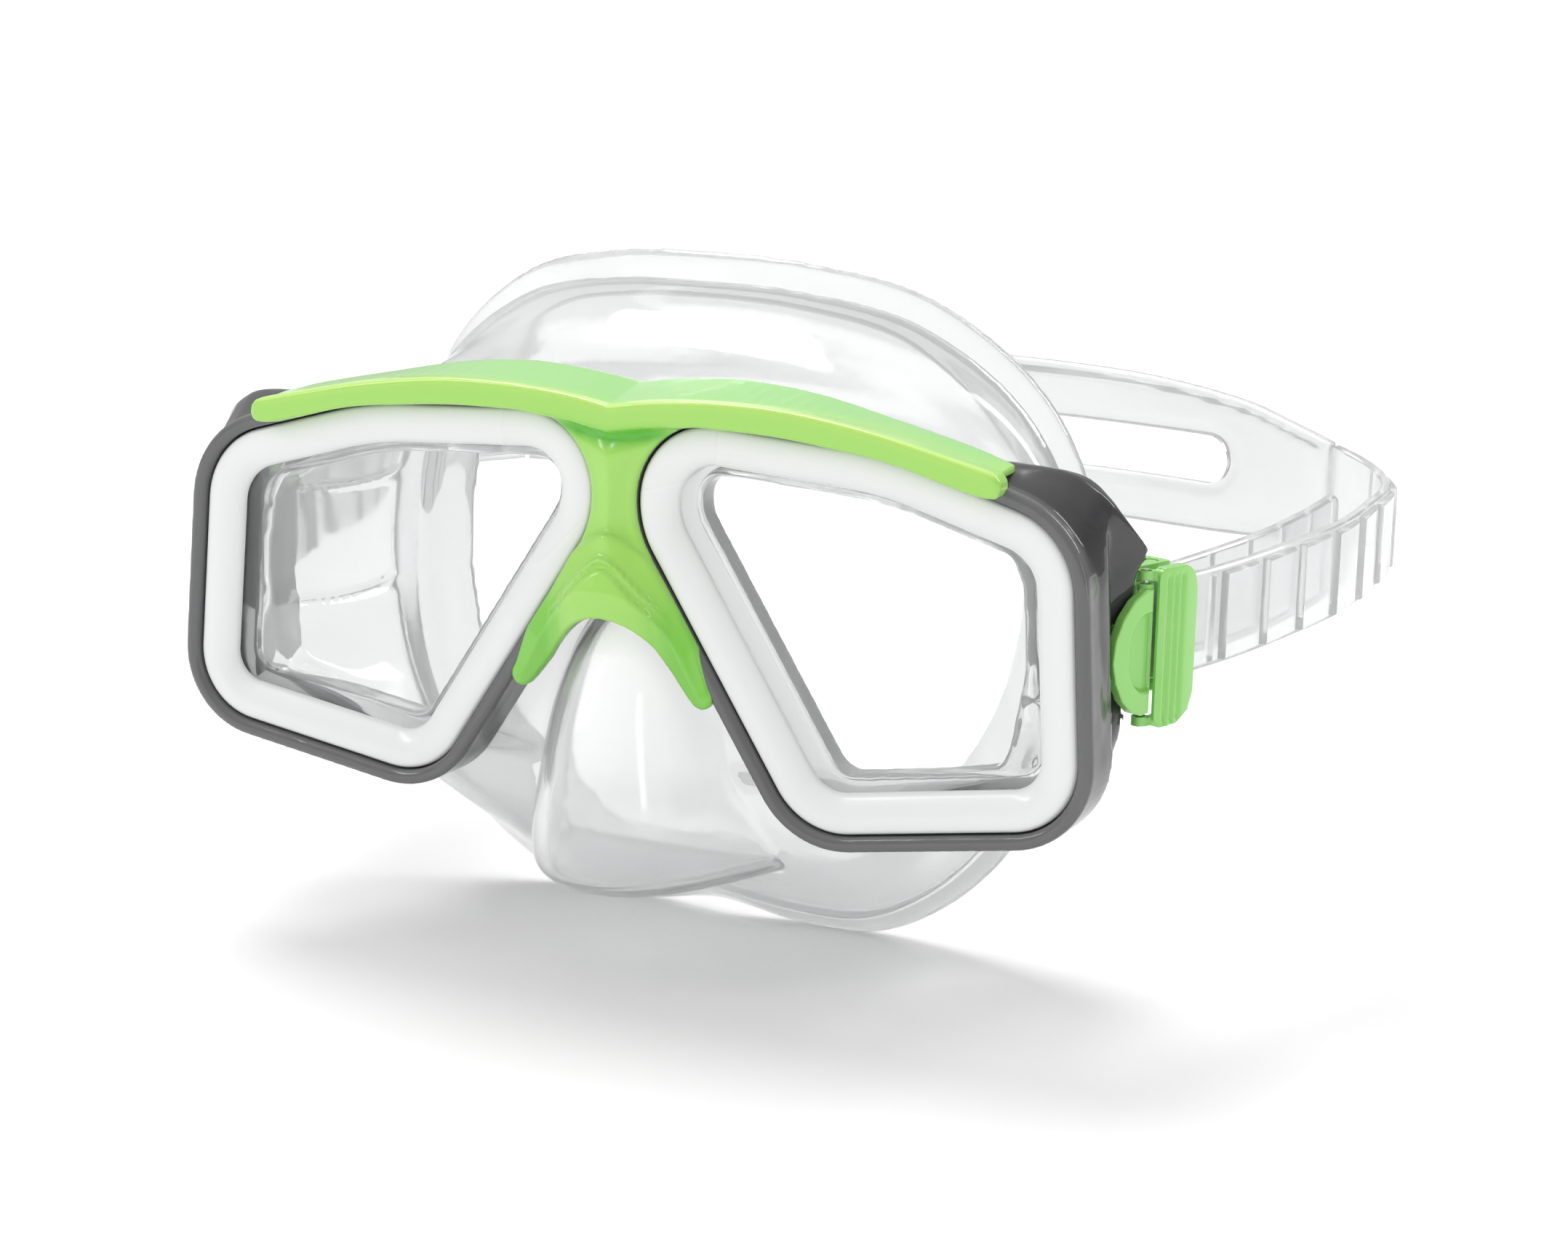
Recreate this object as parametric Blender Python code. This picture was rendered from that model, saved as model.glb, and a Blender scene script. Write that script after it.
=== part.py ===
"""Two-lens diving mask: clear skirt, smoke frame, white bezels, green trim, buckles and strap.

All driving dimensions are in millimetres in the mask's own design frame: the origin is the
middle of the two lenses at the plane of their bezels, +X is the wearer's left, +Y runs back
to the wearer's head and +Z is up. One empty moves everything to the row frame.
"""
import math

import bmesh
import bpy
from mathutils import Matrix, Vector

MM = 0.001

# Lens opening: filleted hexagon as (x, z, fillet radius), on the wearer's left.
LENS_CORNERS = [(3.5, 30.5, 12.0), (44.0, 28.0, 60.0), (73.0, 19.5, 13.0),
                (76.0, -24.0, 11.0), (32.0, -31.0, 12.0), (4.0, 13.0, 15.0)]
ARC_STEPS = 5
GAP = 0.35

BEZEL_WIDTH = 6.2
BEZEL_REBATE = 3.6
BEZEL_DEPTH = 5.3
LENS_FRONT_Y = 2.5
LENS_THICKNESS = 2.8
LENS_BEVEL = 0.5

RIM_WIDTH = 2.5
RIM_FRONT_Y = -0.7
FLANGE_FRONT_Y = 6.2
FLANGE_BACK_Y = 8.3
FLANGE_WIDTH = 6.8

# Buckle frame: origin on the ear, u runs back along the buckle, w points outwards.
BUCKLE_ORIGIN = (77.1, 9.2)
BUCKLE_SPLAY = math.radians(20.0)
EAR_THICKNESS = 2.0
# Each axis of the buckle is upright, at a (u, w) point.
SWIVEL_AXIS = (2.6, -6.4)
LEVER_AXIS = (8.4, -1.75)
ROLLER_AXIS = (14.2, -5.7)
PIVOT_R = 1.5
PIVOT_Z = (-10.0, 11.0)
LUG_R, LUG_BORE_R = 2.8, 1.8
LUG_Z = [(-9.2, -6.6), (7.0, 9.6)]
LEVER_PIN_R, PIN_BORE_R = 0.5, 0.8
PIN_SIDES = 12
BARREL_R = 1.35
BARREL_Z = (-9.6, 9.9)
LEVER_U = (9.0, 18.4)
LEVER_W = (-1.2, 1.0)
LEVER_Z = (-12.0, 12.4)
ROLLER_R, ROLLER_Z = 2.1, (-5.5, 9.9)
AXLE_R, AXLE_Z = 1.0, (-7.3, 11.8)
AXLE_BORE_R = 1.3
ARM_Z = [(-7.6, -5.9), (10.3, 12.0)]
KNUCKLE_Z = [(-11.7, -9.95), (10.25, 12.0)]
STRAP_Z = 2.3
STRAP_WIDTH = 15.0
STRAP_THICKNESS = 1.7
LOOP_INNER_R = 2.4
LOOP_END_U = 22.0
LOOP_GAP = 1.2
KEEPER_X, KEEPER_Y = 93.2, 86.0

SKIRT_WALL = 2.2
NOSE_WALL = 1.8
COLLAR_WALL = 1.8
PORT_REACH = 64.8
COLLAR_FRONT_Y = 5.7


# ---------------------------------------------------------------- scene and materials

def clear_scene():
    for obj in list(bpy.data.objects):
        bpy.data.objects.remove(obj, do_unlink=True)


def new_collection(name):
    coll = bpy.data.collections.new(name)
    bpy.context.scene.collection.children.link(coll)
    return coll


def principled(name, colour, roughness, alpha=1.0):
    mat = bpy.data.materials.new(name)
    mat.use_nodes = True
    shader = mat.node_tree.nodes["Principled BSDF"]
    shader.inputs["Base Color"].default_value = (*colour, 1.0)
    shader.inputs["Roughness"].default_value = roughness
    shader.inputs["Metallic"].default_value = 0.0
    shader.inputs["Alpha"].default_value = alpha
    mat.diffuse_color = (*colour, alpha)
    return mat


# ---------------------------------------------------------------- outlines

def fillet_outline(corners, offset, steps=ARC_STEPS):
    """Points of a clockwise filleted polygon, moved outwards by offset."""
    count = len(corners)
    points = []
    for i in range(count):
        here = Vector(corners[i][:2])
        before = (here - Vector(corners[i - 1][:2])).normalized()
        after = (Vector(corners[(i + 1) % count][:2]) - here).normalized()
        normal_in = Vector((-before.y, before.x))
        normal_out = Vector((-after.y, after.x))
        half = (normal_in + normal_out).normalized()
        cosine = half.dot(normal_out)
        centre = here - half * (corners[i][2] / cosine)
        radius = corners[i][2] + offset
        start = math.atan2(normal_in.y, normal_in.x)
        turn = normal_in.angle_signed(normal_out)
        for k in range(steps + 1):
            angle = start - turn * k / steps
            points.append((centre.x + radius * math.cos(angle), centre.y + radius * math.sin(angle)))
    return points


def lens_outline(offset):
    return fillet_outline(LENS_CORNERS, offset)


def smooth_path(points, steps):
    """Catmull-Rom curve through the points, with the given number of steps a span."""
    pts = [Vector(p) for p in points]
    ends = [2 * pts[0] - pts[1]] + pts + [2 * pts[-1] - pts[-2]]
    out = []
    for i in range(1, len(ends) - 2):
        a, b, c, d = ends[i - 1:i + 3]
        for k in range(steps):
            t = k / steps
            out.append(0.5 * (2 * b + (c - a) * t + (2 * a - 5 * b + 4 * c - d) * t * t
                              + (3 * b - a - 3 * c + d) * t ** 3))
    out.append(pts[-1])
    return out


def buckle_matrix():
    """Turns the left buckle's own axes (w outwards, u back, z up) into the design frame."""
    return Matrix.Translation((*BUCKLE_ORIGIN, 0.0)) @ Matrix.Rotation(-BUCKLE_SPLAY, 4, "Z")


def buckle_point(u, w, z):
    """A point of the left buckle in the design frame."""
    return tuple(buckle_matrix() @ Vector((w, u, z)))


# ---------------------------------------------------------------- solids

def solid_object(name, bm, kit, mat=None):
    """An object from a closed mesh in millimetres: triangles, with the faces pointing out.

    With no material it is a cutter, or a piece to be joined to another.
    """
    mesh = bpy.data.meshes.new(name)
    bm.normal_update()
    bmesh.ops.triangulate(bm, faces=bm.faces)
    bmesh.ops.recalc_face_normals(bm, faces=bm.faces)
    bm.to_mesh(mesh)
    bm.free()
    obj = bpy.data.objects.new(name, mesh)
    obj.parent = kit["origin"]
    if mat:
        mesh.materials.append(mat)
        kit["parts"].objects.link(obj)
    else:
        obj.hide_render = True
        obj.display_type = "WIRE"
        kit["cutters"].objects.link(obj)
    return obj


def mesh_object(name, points, faces, kit, mat=None):
    bm = bmesh.new()
    verts = [bm.verts.new(p) for p in points]
    for face in faces:
        bm.faces.new([verts[i] for i in face])
    return solid_object(name, bm, kit, mat)


def loft(name, rings, kit, mat=None, looped=False):
    """A skin through closed rings with equal counts: a closed loop, or capped at both ends."""
    size = len(rings[0])
    points = [p for ring in rings for p in ring]
    faces = []
    spans = len(rings) if looped else len(rings) - 1
    for i in range(spans):
        low, high = i * size, ((i + 1) % len(rings)) * size
        for k in range(size):
            n = (k + 1) % size
            faces.append((low + k, low + n, high + n, high + k))
    if not looped:
        faces.append(tuple(range(size)))
        faces.append(tuple(range(len(points) - size, len(points))))
    return mesh_object(name, points, faces, kit, mat)


def prism(name, outline, low, high, place, kit, mat=None):
    """An outline extruded between two levels; place maps (a, b, level) to a point."""
    rings = [[place(a, b, level) for a, b in outline] for level in (low, high)]
    return loft(name, rings, kit, mat)


def mirror_copy(obj, name, kit, mat=None):
    """The same solid on the wearer's right."""
    points = [(-v.co.x, v.co.y, v.co.z) for v in obj.data.vertices]
    faces = [tuple(face.vertices) for face in obj.data.polygons]
    return mesh_object(name, points, faces, kit, mat)


def front_view(a, b, level):
    return (a, level, b)


def buckle_plan(a, b, level):
    """Outline of (u, w) points, extruded up z, in the buckle's own axes."""
    return (b, a, level)


def buckle_face(a, b, level):
    """Outline of (u, z) points, extruded outwards along w, in the buckle's own axes."""
    return (level, a, b)


def rod(name, centre, radius, levels, kit, mat=None, sides=16):
    """An upright cylinder round the (u, w) centre, between two levels, in the buckle's own axes."""
    u, w = centre
    low, high = levels
    bm = bmesh.new()
    bmesh.ops.create_cone(bm, cap_ends=True, segments=sides, radius1=radius, radius2=radius,
                          depth=high - low, matrix=Matrix.Translation((w, u, (low + high) / 2)))
    return solid_object(name, bm, kit, mat)


def block(name, u_span, w_span, z_span, kit):
    """A box between limits in the buckle's own axes."""
    spans = (w_span, u_span, z_span)
    middle = Vector([(low + high) / 2 for low, high in spans])
    sides = [high - low for low, high in spans]
    bm = bmesh.new()
    bmesh.ops.create_cube(bm, size=1.0, matrix=Matrix.LocRotScale(middle, None, sides))
    return solid_object(name, bm, kit)


def combine(obj, other, operation):
    """Apply an exact Boolean to obj and remove the other solid."""
    mod = obj.modifiers.new(operation.lower(), "BOOLEAN")
    mod.operation = operation
    mod.solver = "EXACT"
    mod.object = other
    bpy.context.view_layer.update()
    evaluated = obj.evaluated_get(bpy.context.evaluated_depsgraph_get())
    result = bpy.data.meshes.new_from_object(evaluated)
    obj.modifiers.clear()
    obj.data = result
    bpy.data.objects.remove(other, do_unlink=True)


def join(obj, *others):
    for other in others:
        combine(obj, other, "UNION")


def cut(obj, *others):
    for other in others:
        combine(obj, other, "DIFFERENCE")


def swept_ring(name, section, kit, mat=None):
    """A section of (offset, y) carried round the left lens outline."""
    rings = [[(x, y, z) for x, z in lens_outline(offset)] for offset, y in section]
    return loft(name, rings, kit, mat, looped=True)


def on_ear(obj):
    """Move a solid from the buckle's own axes to its place on the mask."""
    obj.data.transform(buckle_matrix())
    return obj


# ---------------------------------------------------------------- frame

def ear_rows():
    """Outer surface of the left ear, as rows of points from the rim back to the ear's edge."""
    rim = [(64.9, 1.0, 24.0), (68.2, 1.0, 22.5), (71.3, 1.0, 20.2), (73.6, 1.0, 17.1),
           (75.4, 1.0, 12.4), (76.1, 1.0, 5.0), (76.4, 1.0, -0.5), (76.8, 1.0, -7.0),
           (77.2, 1.0, -14.0), (74.9, 1.0, -22.2), (69.8, 1.0, -26.5)]
    shoulder = [(64.6, 7.6, 26.2), (68.4, 7.6, 25.9), (71.8, 7.6, 24.8), (74.4, 7.6, 22.2),
                (76.2, 7.4, 13.4), (76.8, 7.4, 6.0), (77.0, 7.4, -0.5), (77.2, 7.4, -7.5),
                (77.3, 7.6, -15.5), (74.4, 7.6, -23.0), (69.2, 7.6, -26.6)]
    recess = [(65.2, 9.2, 26.3), (69.0, 9.3, 25.9), (72.3, 9.6, 24.6), (75.0, 10.2, 21.6),
              (74.6, 9.2, 12.6), (74.3, 8.9, 5.4), (74.3, 8.9, -0.5), (74.3, 8.9, -6.8),
              (76.3, 10.6, -13.6), (74.4, 9.6, -20.0), (70.6, 9.2, -24.8)]
    edge = [(66.0, 11.0, 26.2), (69.8, 11.2, 25.6), (73.0, 11.8, 24.0), (75.8, 13.2, 20.4),
            (77.2, 16.6, 14.2), (76.8, 16.2, 6.6), (76.8, 16.2, -0.5), (76.8, 16.2, -7.2),
            (76.6, 15.2, -11.8), (75.0, 12.2, -18.4), (71.4, 10.8, -23.6)]
    return [rim, shoulder, recess, edge]


def pushed_in(rows, i, k, depth):
    """The surface point pushed into the ear by its depth."""
    last_row, last_point = len(rows) - 1, len(rows[0]) - 1
    here = Vector(rows[i][k])
    along = Vector(rows[min(i + 1, last_row)][k]) - Vector(rows[max(i - 1, 0)][k])
    across = Vector(rows[i][min(k + 1, last_point)]) - Vector(rows[i][max(k - 1, 0)])
    normal = along.cross(across).normalized()
    if normal.dot(here - Vector((55.0, here.y, 0.0))) > 0:
        normal = -normal
    return tuple(here + normal * depth)


def ear(kit):
    rows = ear_rows()
    depths = [0.9, 1.5, 1.5, EAR_THICKNESS]
    rings = []
    for i, row in enumerate(rows):
        inner = [pushed_in(rows, i, k, depths[i]) for k in range(len(row))]
        rings.append(list(row) + inner[::-1])
    return loft("ear", rings, kit)


def frame_bridge(kit):
    """The web between the two rims, behind the green trim."""
    outline = [(-4.6, 26.0), (4.6, 26.0), (2.3, 18.0), (3.8, 10.0), (7.4, 3.5),
               (-7.4, 3.5), (-3.8, 10.0), (-2.3, 18.0)]
    return prism("bridge", outline, 0.6, 7.9, front_view, kit)


def half_frame(kit, mat):
    """The left rim with its lens seat, ear and hinge lugs."""
    section = [(GAP, -0.3), (1.0, RIM_FRONT_Y), (1.9, RIM_FRONT_Y), (RIM_WIDTH, 0.0),
               (RIM_WIDTH, FLANGE_BACK_Y), (-FLANGE_WIDTH, FLANGE_BACK_Y),
               (-FLANGE_WIDTH, FLANGE_FRONT_Y), (GAP, FLANGE_FRONT_Y)]
    half = swept_ring("frame", section, kit, mat)
    join(half, ear(kit))
    for levels in LUG_Z:
        join(half, on_ear(rod("lug", SWIVEL_AXIS, LUG_R, levels, kit)))
    bore = rod("pivot_bore", SWIVEL_AXIS, LUG_BORE_R, (-10.8, 11.6), kit)
    neck_slot = block("neck_slot", (0.7, 4.8), (-6.2, -1.5), (-5.2, 5.2), kit)
    cut(half, on_ear(bore), on_ear(neck_slot))
    return half


def build_frame(kit, mat):
    frame = half_frame(kit, mat)
    join(frame, frame_bridge(kit), mirror_copy(frame, "other_half", kit))
    return frame


# ---------------------------------------------------------------- lenses and bezels

def build_bezel(name, kit, mat):
    section = [(0.0, 0.5), (-0.6, 0.0), (-3.0, 0.2), (-5.6, 1.1), (-BEZEL_WIDTH, 1.6),
               (-BEZEL_WIDTH, 2.2), (-BEZEL_REBATE, 2.2), (-BEZEL_REBATE, BEZEL_DEPTH),
               (0.0, BEZEL_DEPTH)]
    return swept_ring(name, section, kit, mat)


def build_lens(name, kit, mat):
    """A flat plate, bevelled at the front under the bezel's lip."""
    edge = -BEZEL_REBATE - GAP
    levels = ((edge, LENS_FRONT_Y + LENS_THICKNESS), (edge, LENS_FRONT_Y + LENS_BEVEL),
              (-BEZEL_WIDTH - GAP, LENS_FRONT_Y))
    rings = []
    for offset, y in levels:
        rings.append([front_view(x, z, y) for x, z in lens_outline(offset)])
    return loft(name, rings, kit, mat)


# ---------------------------------------------------------------- green trim

def trim_half_outline():
    """Front outline of the trim's left half, from the top centre round to the nose arch."""
    crease = [(0.0, 32.0), (7.5, 33.2), (18.0, 33.9), (30.0, 33.6), (43.0, 31.8), (55.0, 29.2), (61.0, 27.8)]
    end = [(62.6, 27.0), (63.0, 25.4), (62.2, 23.9)]
    ring = [(x, z) for x, z in lens_outline(GAP)]
    along_top = [p for p in ring if p[1] > 13.0 and p[0] < 61.0]
    inner = [p for p in ring if -9.5 < p[1] <= 13.0 and p[0] < 25.0]
    upper = sorted([p for p in along_top if p[0] > 12.0], key=lambda p: -p[0])
    nose_side = sorted([p for p in along_top if p[0] <= 12.0] + inner, key=lambda p: -p[1])
    tip = [(16.2, -9.8), (16.9, -11.6), (16.2, -13.0), (14.6, -12.9)]
    arch = [(11.6, -9.0), (8.4, -4.6), (5.2, -1.9), (2.4, -0.7)]
    return crease + end + upper + nose_side + tip + arch, (0.0, -0.4)


def trim_plate(kit, mat):
    half, foot = trim_half_outline()
    other = [(-x, z) for x, z in reversed(half[1:])]
    return prism("brow_bridge_trim", half + [foot] + other, -3.4, -1.0, front_view, kit, mat)


def trim_top_bar(kit):
    """The shelf that runs back from the crease over the top of the rims."""
    stations = [(0.0, 32.0, 34.1, 30.6), (7.5, 33.2, 35.2, 31.8), (18.0, 33.9, 35.9, 32.6),
                (30.0, 33.6, 34.9, 31.9), (43.0, 31.8, 32.3, 30.6), (55.0, 29.2, 29.7, 27.9),
                (62.0, 27.4, 27.7, 26.1)]
    full = [(-x, *rest) for x, *rest in reversed(stations[1:])] + stations
    rings = []
    for x, crease, top, under in full:
        back = 8.4 - 3.0 * (abs(x) / 62.0) ** 2
        rings.append([(x, -2.9, crease - 1.0), (x, -3.1, crease - 0.15), (x, back, top),
                      (x, back, top - 1.3), (x, -1.4, under)])
    return loft("top_bar", rings, kit)


def nose_arch(kit):
    """The raised hood over the nose, at the bottom of the bridge."""
    sections = [(-2.8, 12.5, 2.6), (-5.4, 6.0, 5.4), (-6.4, 1.5, 5.8), (-5.6, -0.4, 5.0)]
    rings = []
    for y, z, half in sections:
        rings.append([(-half, -1.6, z - half * 0.35), (-half * 0.7, y * 0.62, z), (0.0, y, z + 0.6),
                      (half * 0.7, y * 0.62, z), (half, -1.6, z - half * 0.35), (0.0, -1.4, z - 0.4)])
    return loft("arch", rings, kit)


def build_trim(kit, mat):
    trim = trim_plate(kit, mat)
    join(trim, trim_top_bar(kit), nose_arch(kit))
    return trim


# ---------------------------------------------------------------- skirt

def mirrored_ring(half):
    """A closed ring from its half that runs from the top centre to the bottom centre."""
    curve = smooth_path(half, 3)
    return [tuple(p) for p in curve] + [(-p.x, p.y, p.z) for p in reversed(curve[1:-1])]


SKIRT_FRONT = [(0, 8.6, 24.5), (20, 8.6, 27.0), (44, 8.6, 25.0), (61, 8.6, 19.5), (67.4, 8.6, 8.0),
               (67.4, 8.6, -10.0), (63.0, 8.6, -20.5), (46, 8.6, -25.0), (30, 8.6, -27.0),
               (14, 8.6, -28.0), (0, 8.6, -28.0)]
SKIRT_MIDDLE = [(0, 17, 36.5), (19, 17.6, 36.5), (40, 19, 32.0), (55, 20, 23.5), (62.5, 20.5, 10.0),
                (63.4, 20.5, -8.0), (58.5, 20, -23.0), (45, 19, -35.0), (29, 19, -41.0),
                (13, 18, -42.0), (0, 17, -41.5)]
SKIRT_WAIST = [(0, 26, 43.5), (18, 27, 42.8), (37, 30, 37.5), (51, 33, 27.5), (59.0, 34, 12.0),
               (60.4, 34, -6.0), (56.0, 33, -24.0), (45, 31, -40.0), (30, 31, -50.0),
               (14, 30, -51.0), (0, 29, -49.5)]
SKIRT_SEAL = [(0, 32, 51.8), (18, 33.6, 50.8), (36, 38, 46.0), (52, 43, 33.0), (60.6, 45.5, 15.0),
              (62.0, 45.5, -5.0), (58.0, 43.5, -26.0), (47, 42, -45.5), (31, 42.5, -57.5),
              (15, 42, -59.0), (0, 40.5, -56.5)]
SKIRT_LIP = [(0, 35.5, 44.5), (16, 36.5, 43.5), (31, 40, 39.5), (43, 43.5, 28.0), (50.5, 45, 12.5),
             (51.5, 45, -5.0), (47.5, 44, -21.5), (38, 44, -36.0), (26, 45.5, -47.5),
             (12, 45, -49.5), (0, 43.5, -48.0)]


def outer_rings():
    """Outside of the skirt, from its front wall back to the edge of the seal's lip."""
    halves = (SKIRT_FRONT, SKIRT_MIDDLE, SKIRT_WAIST, SKIRT_SEAL, SKIRT_LIP)
    return [mirrored_ring(half) for half in halves]


def cavity_rings():
    """The space for the face, from behind the front wall out through the seal."""
    front = [(x, y + SKIRT_WALL, z) for x, y, z in inset_ring(SKIRT_FRONT, SKIRT_WALL, 0.0)]
    lip = inset_ring(SKIRT_LIP, 0.8, -2.0)
    mouth = [(x, y + 9.0, z) for x, y, z in lip]
    halves = (front, inset_ring(SKIRT_MIDDLE, SKIRT_WALL, 0.6), inset_ring(SKIRT_WAIST, SKIRT_WALL, 0.3),
              inset_ring(SKIRT_SEAL, 2.6, -2.4), lip, mouth)
    return [mirrored_ring(half) for half in halves]


def inset_ring(half, wall, back):
    """The half ring moved towards the mask's middle by the wall, and back along Y."""
    out = []
    last = len(half) - 1
    for i, (x, y, z) in enumerate(half):
        ahead, behind = half[min(i + 1, last)], half[max(i - 1, 0)]
        tangent = Vector((ahead[0] - behind[0], ahead[2] - behind[2])).normalized()
        inward = Vector((tangent.y, -tangent.x))
        if i in (0, last):
            inward.x = 0.0
        out.append((x + inward.x * wall, y + back, z + inward.y * wall))
    return out


def nose_outline(z, front, half_width, back=30.0, steps=7):
    """A horizontal slice of the nose pocket, blunt at the front."""
    curve = []
    for k in range(steps + 1):
        share = (k / steps) ** 2
        curve.append((half_width * share ** 0.42, front + (back - front) * share))
    right = [(x, y, z) for x, y in curve]
    left = [(-x, y, z) for x, y in reversed(curve[1:])]
    return left + right


def nose_solid(kit, wall):
    """The nose pocket as a solid, shrunk by the wall."""
    slices = [(1.5, 4.0, 9.0), (-3.0, 0.6, 13.5), (-8.0, -4.2, 16.5), (-16.0, -8.4, 19.5),
              (-26.0, -10.4, 22.0), (-35.0, -11.0, 24.0), (-40.5, -9.6, 24.5), (-43.6, -5.6, 23.0)]
    rings = []
    for z, front, half in slices:
        rings.append(nose_outline(z, front + wall, half - wall * 1.25))
    if wall:
        rings[-1] = [(x, y, z + wall) for x, y, z in rings[-1]]
        rings[0] = [(x, y, z - wall) for x, y, z in rings[0]]
    return loft("nose", rings, kit)


def build_skirt(kit, mat):
    """Outer body and nose pocket, less the face cavity, with a collar for each lens."""
    skirt = loft("face_skirt", outer_rings(), kit, mat)
    join(skirt, nose_solid(kit, 0.0))
    collar = lens_outline(-FLANGE_WIDTH - GAP)
    port = [(min(x, PORT_REACH), z) for x, z in lens_outline(-FLANGE_WIDTH - GAP - COLLAR_WALL)]
    plug = prism("collar", collar, COLLAR_FRONT_Y, 9.7, front_view, kit)
    join(skirt, mirror_copy(plug, "collar", kit), plug)
    cut(skirt, loft("cavity", cavity_rings(), kit), nose_solid(kit, NOSE_WALL))
    hole = prism("port", port, 4.0, 12.6, front_view, kit)
    cut(skirt, mirror_copy(hole, "port", kit), hole)
    return skirt


# ---------------------------------------------------------------- buckles

def half_moon_outline():
    rear = [(8.4, 9.2), (8.4, -9.4)]
    arc = [(6.8, -9.6), (4.6, -8.9), (2.2, -6.8), (0.5, -3.8), (-0.3, -0.6), (0.2, 2.6),
           (1.8, 5.6), (4.2, 8.0), (6.9, 9.3)]
    return rear + arc


def build_buckle_base(name, kit, mat):
    """Half-moon plate, neck, hinge bar, lever barrel and the two arms that hold the roller."""
    base = prism(name, half_moon_outline(), -1.6, 0.0, buckle_face, kit, mat)
    join(base, block("neck", (2.0, 4.2), (-6.4, -1.2), (-4.4, 4.4), kit),
         rod("hinge_bar", SWIVEL_AXIS, PIVOT_R, PIVOT_Z, kit),
         rod("lever_barrel", LEVER_AXIS, BARREL_R, BARREL_Z, kit),
         block("rear_wall", (7.7, 8.9), (-8.0, -2.2), (-9.3, 9.6), kit),
         block("wall_top", (7.8, 9.1), (-7.9, -3.95), (9.2, 11.8), kit))
    for levels in ARM_Z:
        join(base, block("arm", (8.4, 16.6), (-8.2, -3.75), levels, kit))
    cut(base, rod("axle_bore", ROLLER_AXIS, AXLE_BORE_R, (-8.5, 13.0), kit),
        rod("pin_bore", LEVER_AXIS, PIN_BORE_R, (-11.0, 11.0), kit, sides=PIN_SIDES))
    return on_ear(base)


def build_lever(name, kit, mat):
    """The ribbed bar with a hinge knuckle at each end of its front edge."""
    low_u, high_u = LEVER_U
    low_z, high_z = LEVER_Z
    outline = [(low_u, low_z + 1.4), (low_u + 1.2, low_z), (high_u - 4.4, low_z + 0.2),
               (high_u - 1.4, low_z + 1.8), (high_u, low_z + 4.6), (high_u, high_z - 4.2),
               (high_u - 1.0, high_z - 1.4), (high_u - 3.4, high_z), (low_u + 1.2, high_z),
               (low_u, high_z - 1.2)]
    lever = prism(name, outline, *LEVER_W, buckle_face, kit, mat)
    chamfer = [(low_u - 2.0, 0.4), (low_u - 0.1, 0.4), (low_u + 1.6, -1.3), (low_u + 1.6, -3.0),
               (low_u - 2.0, -3.0)]
    cut(lever, prism("chamfer", chamfer, -9.95, 10.2, buckle_plan, kit))
    web = [(8.3, -2.6), (10.9, -1.0), (10.9, 0.3), (9.2, 0.7), (8.0, -0.6)]
    for low, high in KNUCKLE_Z:
        join(lever, prism("web", web, low + 0.1, high - 0.1, buckle_plan, kit),
             rod("knuckle", LEVER_AXIS, BARREL_R, (low, high), kit))
    cut(lever, rod("pin_hole", LEVER_AXIS, PIN_BORE_R, (-13.0, 13.4), kit, sides=PIN_SIDES))
    return on_ear(lever)


def build_lever_pin(name, kit, mat):
    levels = (KNUCKLE_Z[0][0], KNUCKLE_Z[1][1])
    return on_ear(rod(name, LEVER_AXIS, LEVER_PIN_R, levels, kit, mat, PIN_SIDES))


def build_roller(name, kit, mat):
    """A roller with a thin axle stub at each end."""
    roller = rod(name, ROLLER_AXIS, ROLLER_R, ROLLER_Z, kit, mat)
    join(roller, rod("axle", ROLLER_AXIS, AXLE_R, AXLE_Z, kit))
    return on_ear(roller)


# ---------------------------------------------------------------- strap

def loop_outline():
    """The strap's fold round the roller, seen from above, open towards the back."""
    u, w = ROLLER_AXIS
    outer_r = LOOP_INNER_R + STRAP_THICKNESS
    turns = [math.pi * (0.5 + k / 10) for k in range(11)]
    outer = [(u + outer_r * math.cos(t), w + outer_r * math.sin(t)) for t in turns]
    inner = [(u + LOOP_INNER_R * math.cos(t), w + LOOP_INNER_R * math.sin(t)) for t in turns]
    return ([(LOOP_END_U, w + outer_r)] + outer + [(LOOP_END_U, w - outer_r), (LOOP_END_U, w - LOOP_INNER_R)]
            + inner[::-1] + [(LOOP_END_U, w + LOOP_INNER_R)])


def build_loop(name, kit, mat):
    half = STRAP_WIDTH / 2
    return on_ear(prism(name, loop_outline(), STRAP_Z - half, STRAP_Z + half, buckle_plan, kit, mat))


def strap_rings(path, steps):
    """Rectangular sections along a path of (x, y, middle z, width)."""
    samples = smooth_path([(x, y, z) for x, y, z, _ in path], steps)
    widths = [p.x for p in smooth_path([(w, 0.0, 0.0) for _, _, _, w in path], steps)]
    rings = []
    for i, point in enumerate(samples):
        ahead, behind = samples[min(i + 1, len(samples) - 1)], samples[max(i - 1, 0)]
        tangent = (ahead - behind).to_2d().normalized()
        across = Vector((tangent.y, -tangent.x, 0.0)) * STRAP_THICKNESS / 2
        up = Vector((0.0, 0.0, widths[i] / 2))
        rings.append([tuple(point + across + up), tuple(point - across + up),
                      tuple(point - across - up), tuple(point + across - up)])
    return rings


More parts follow.
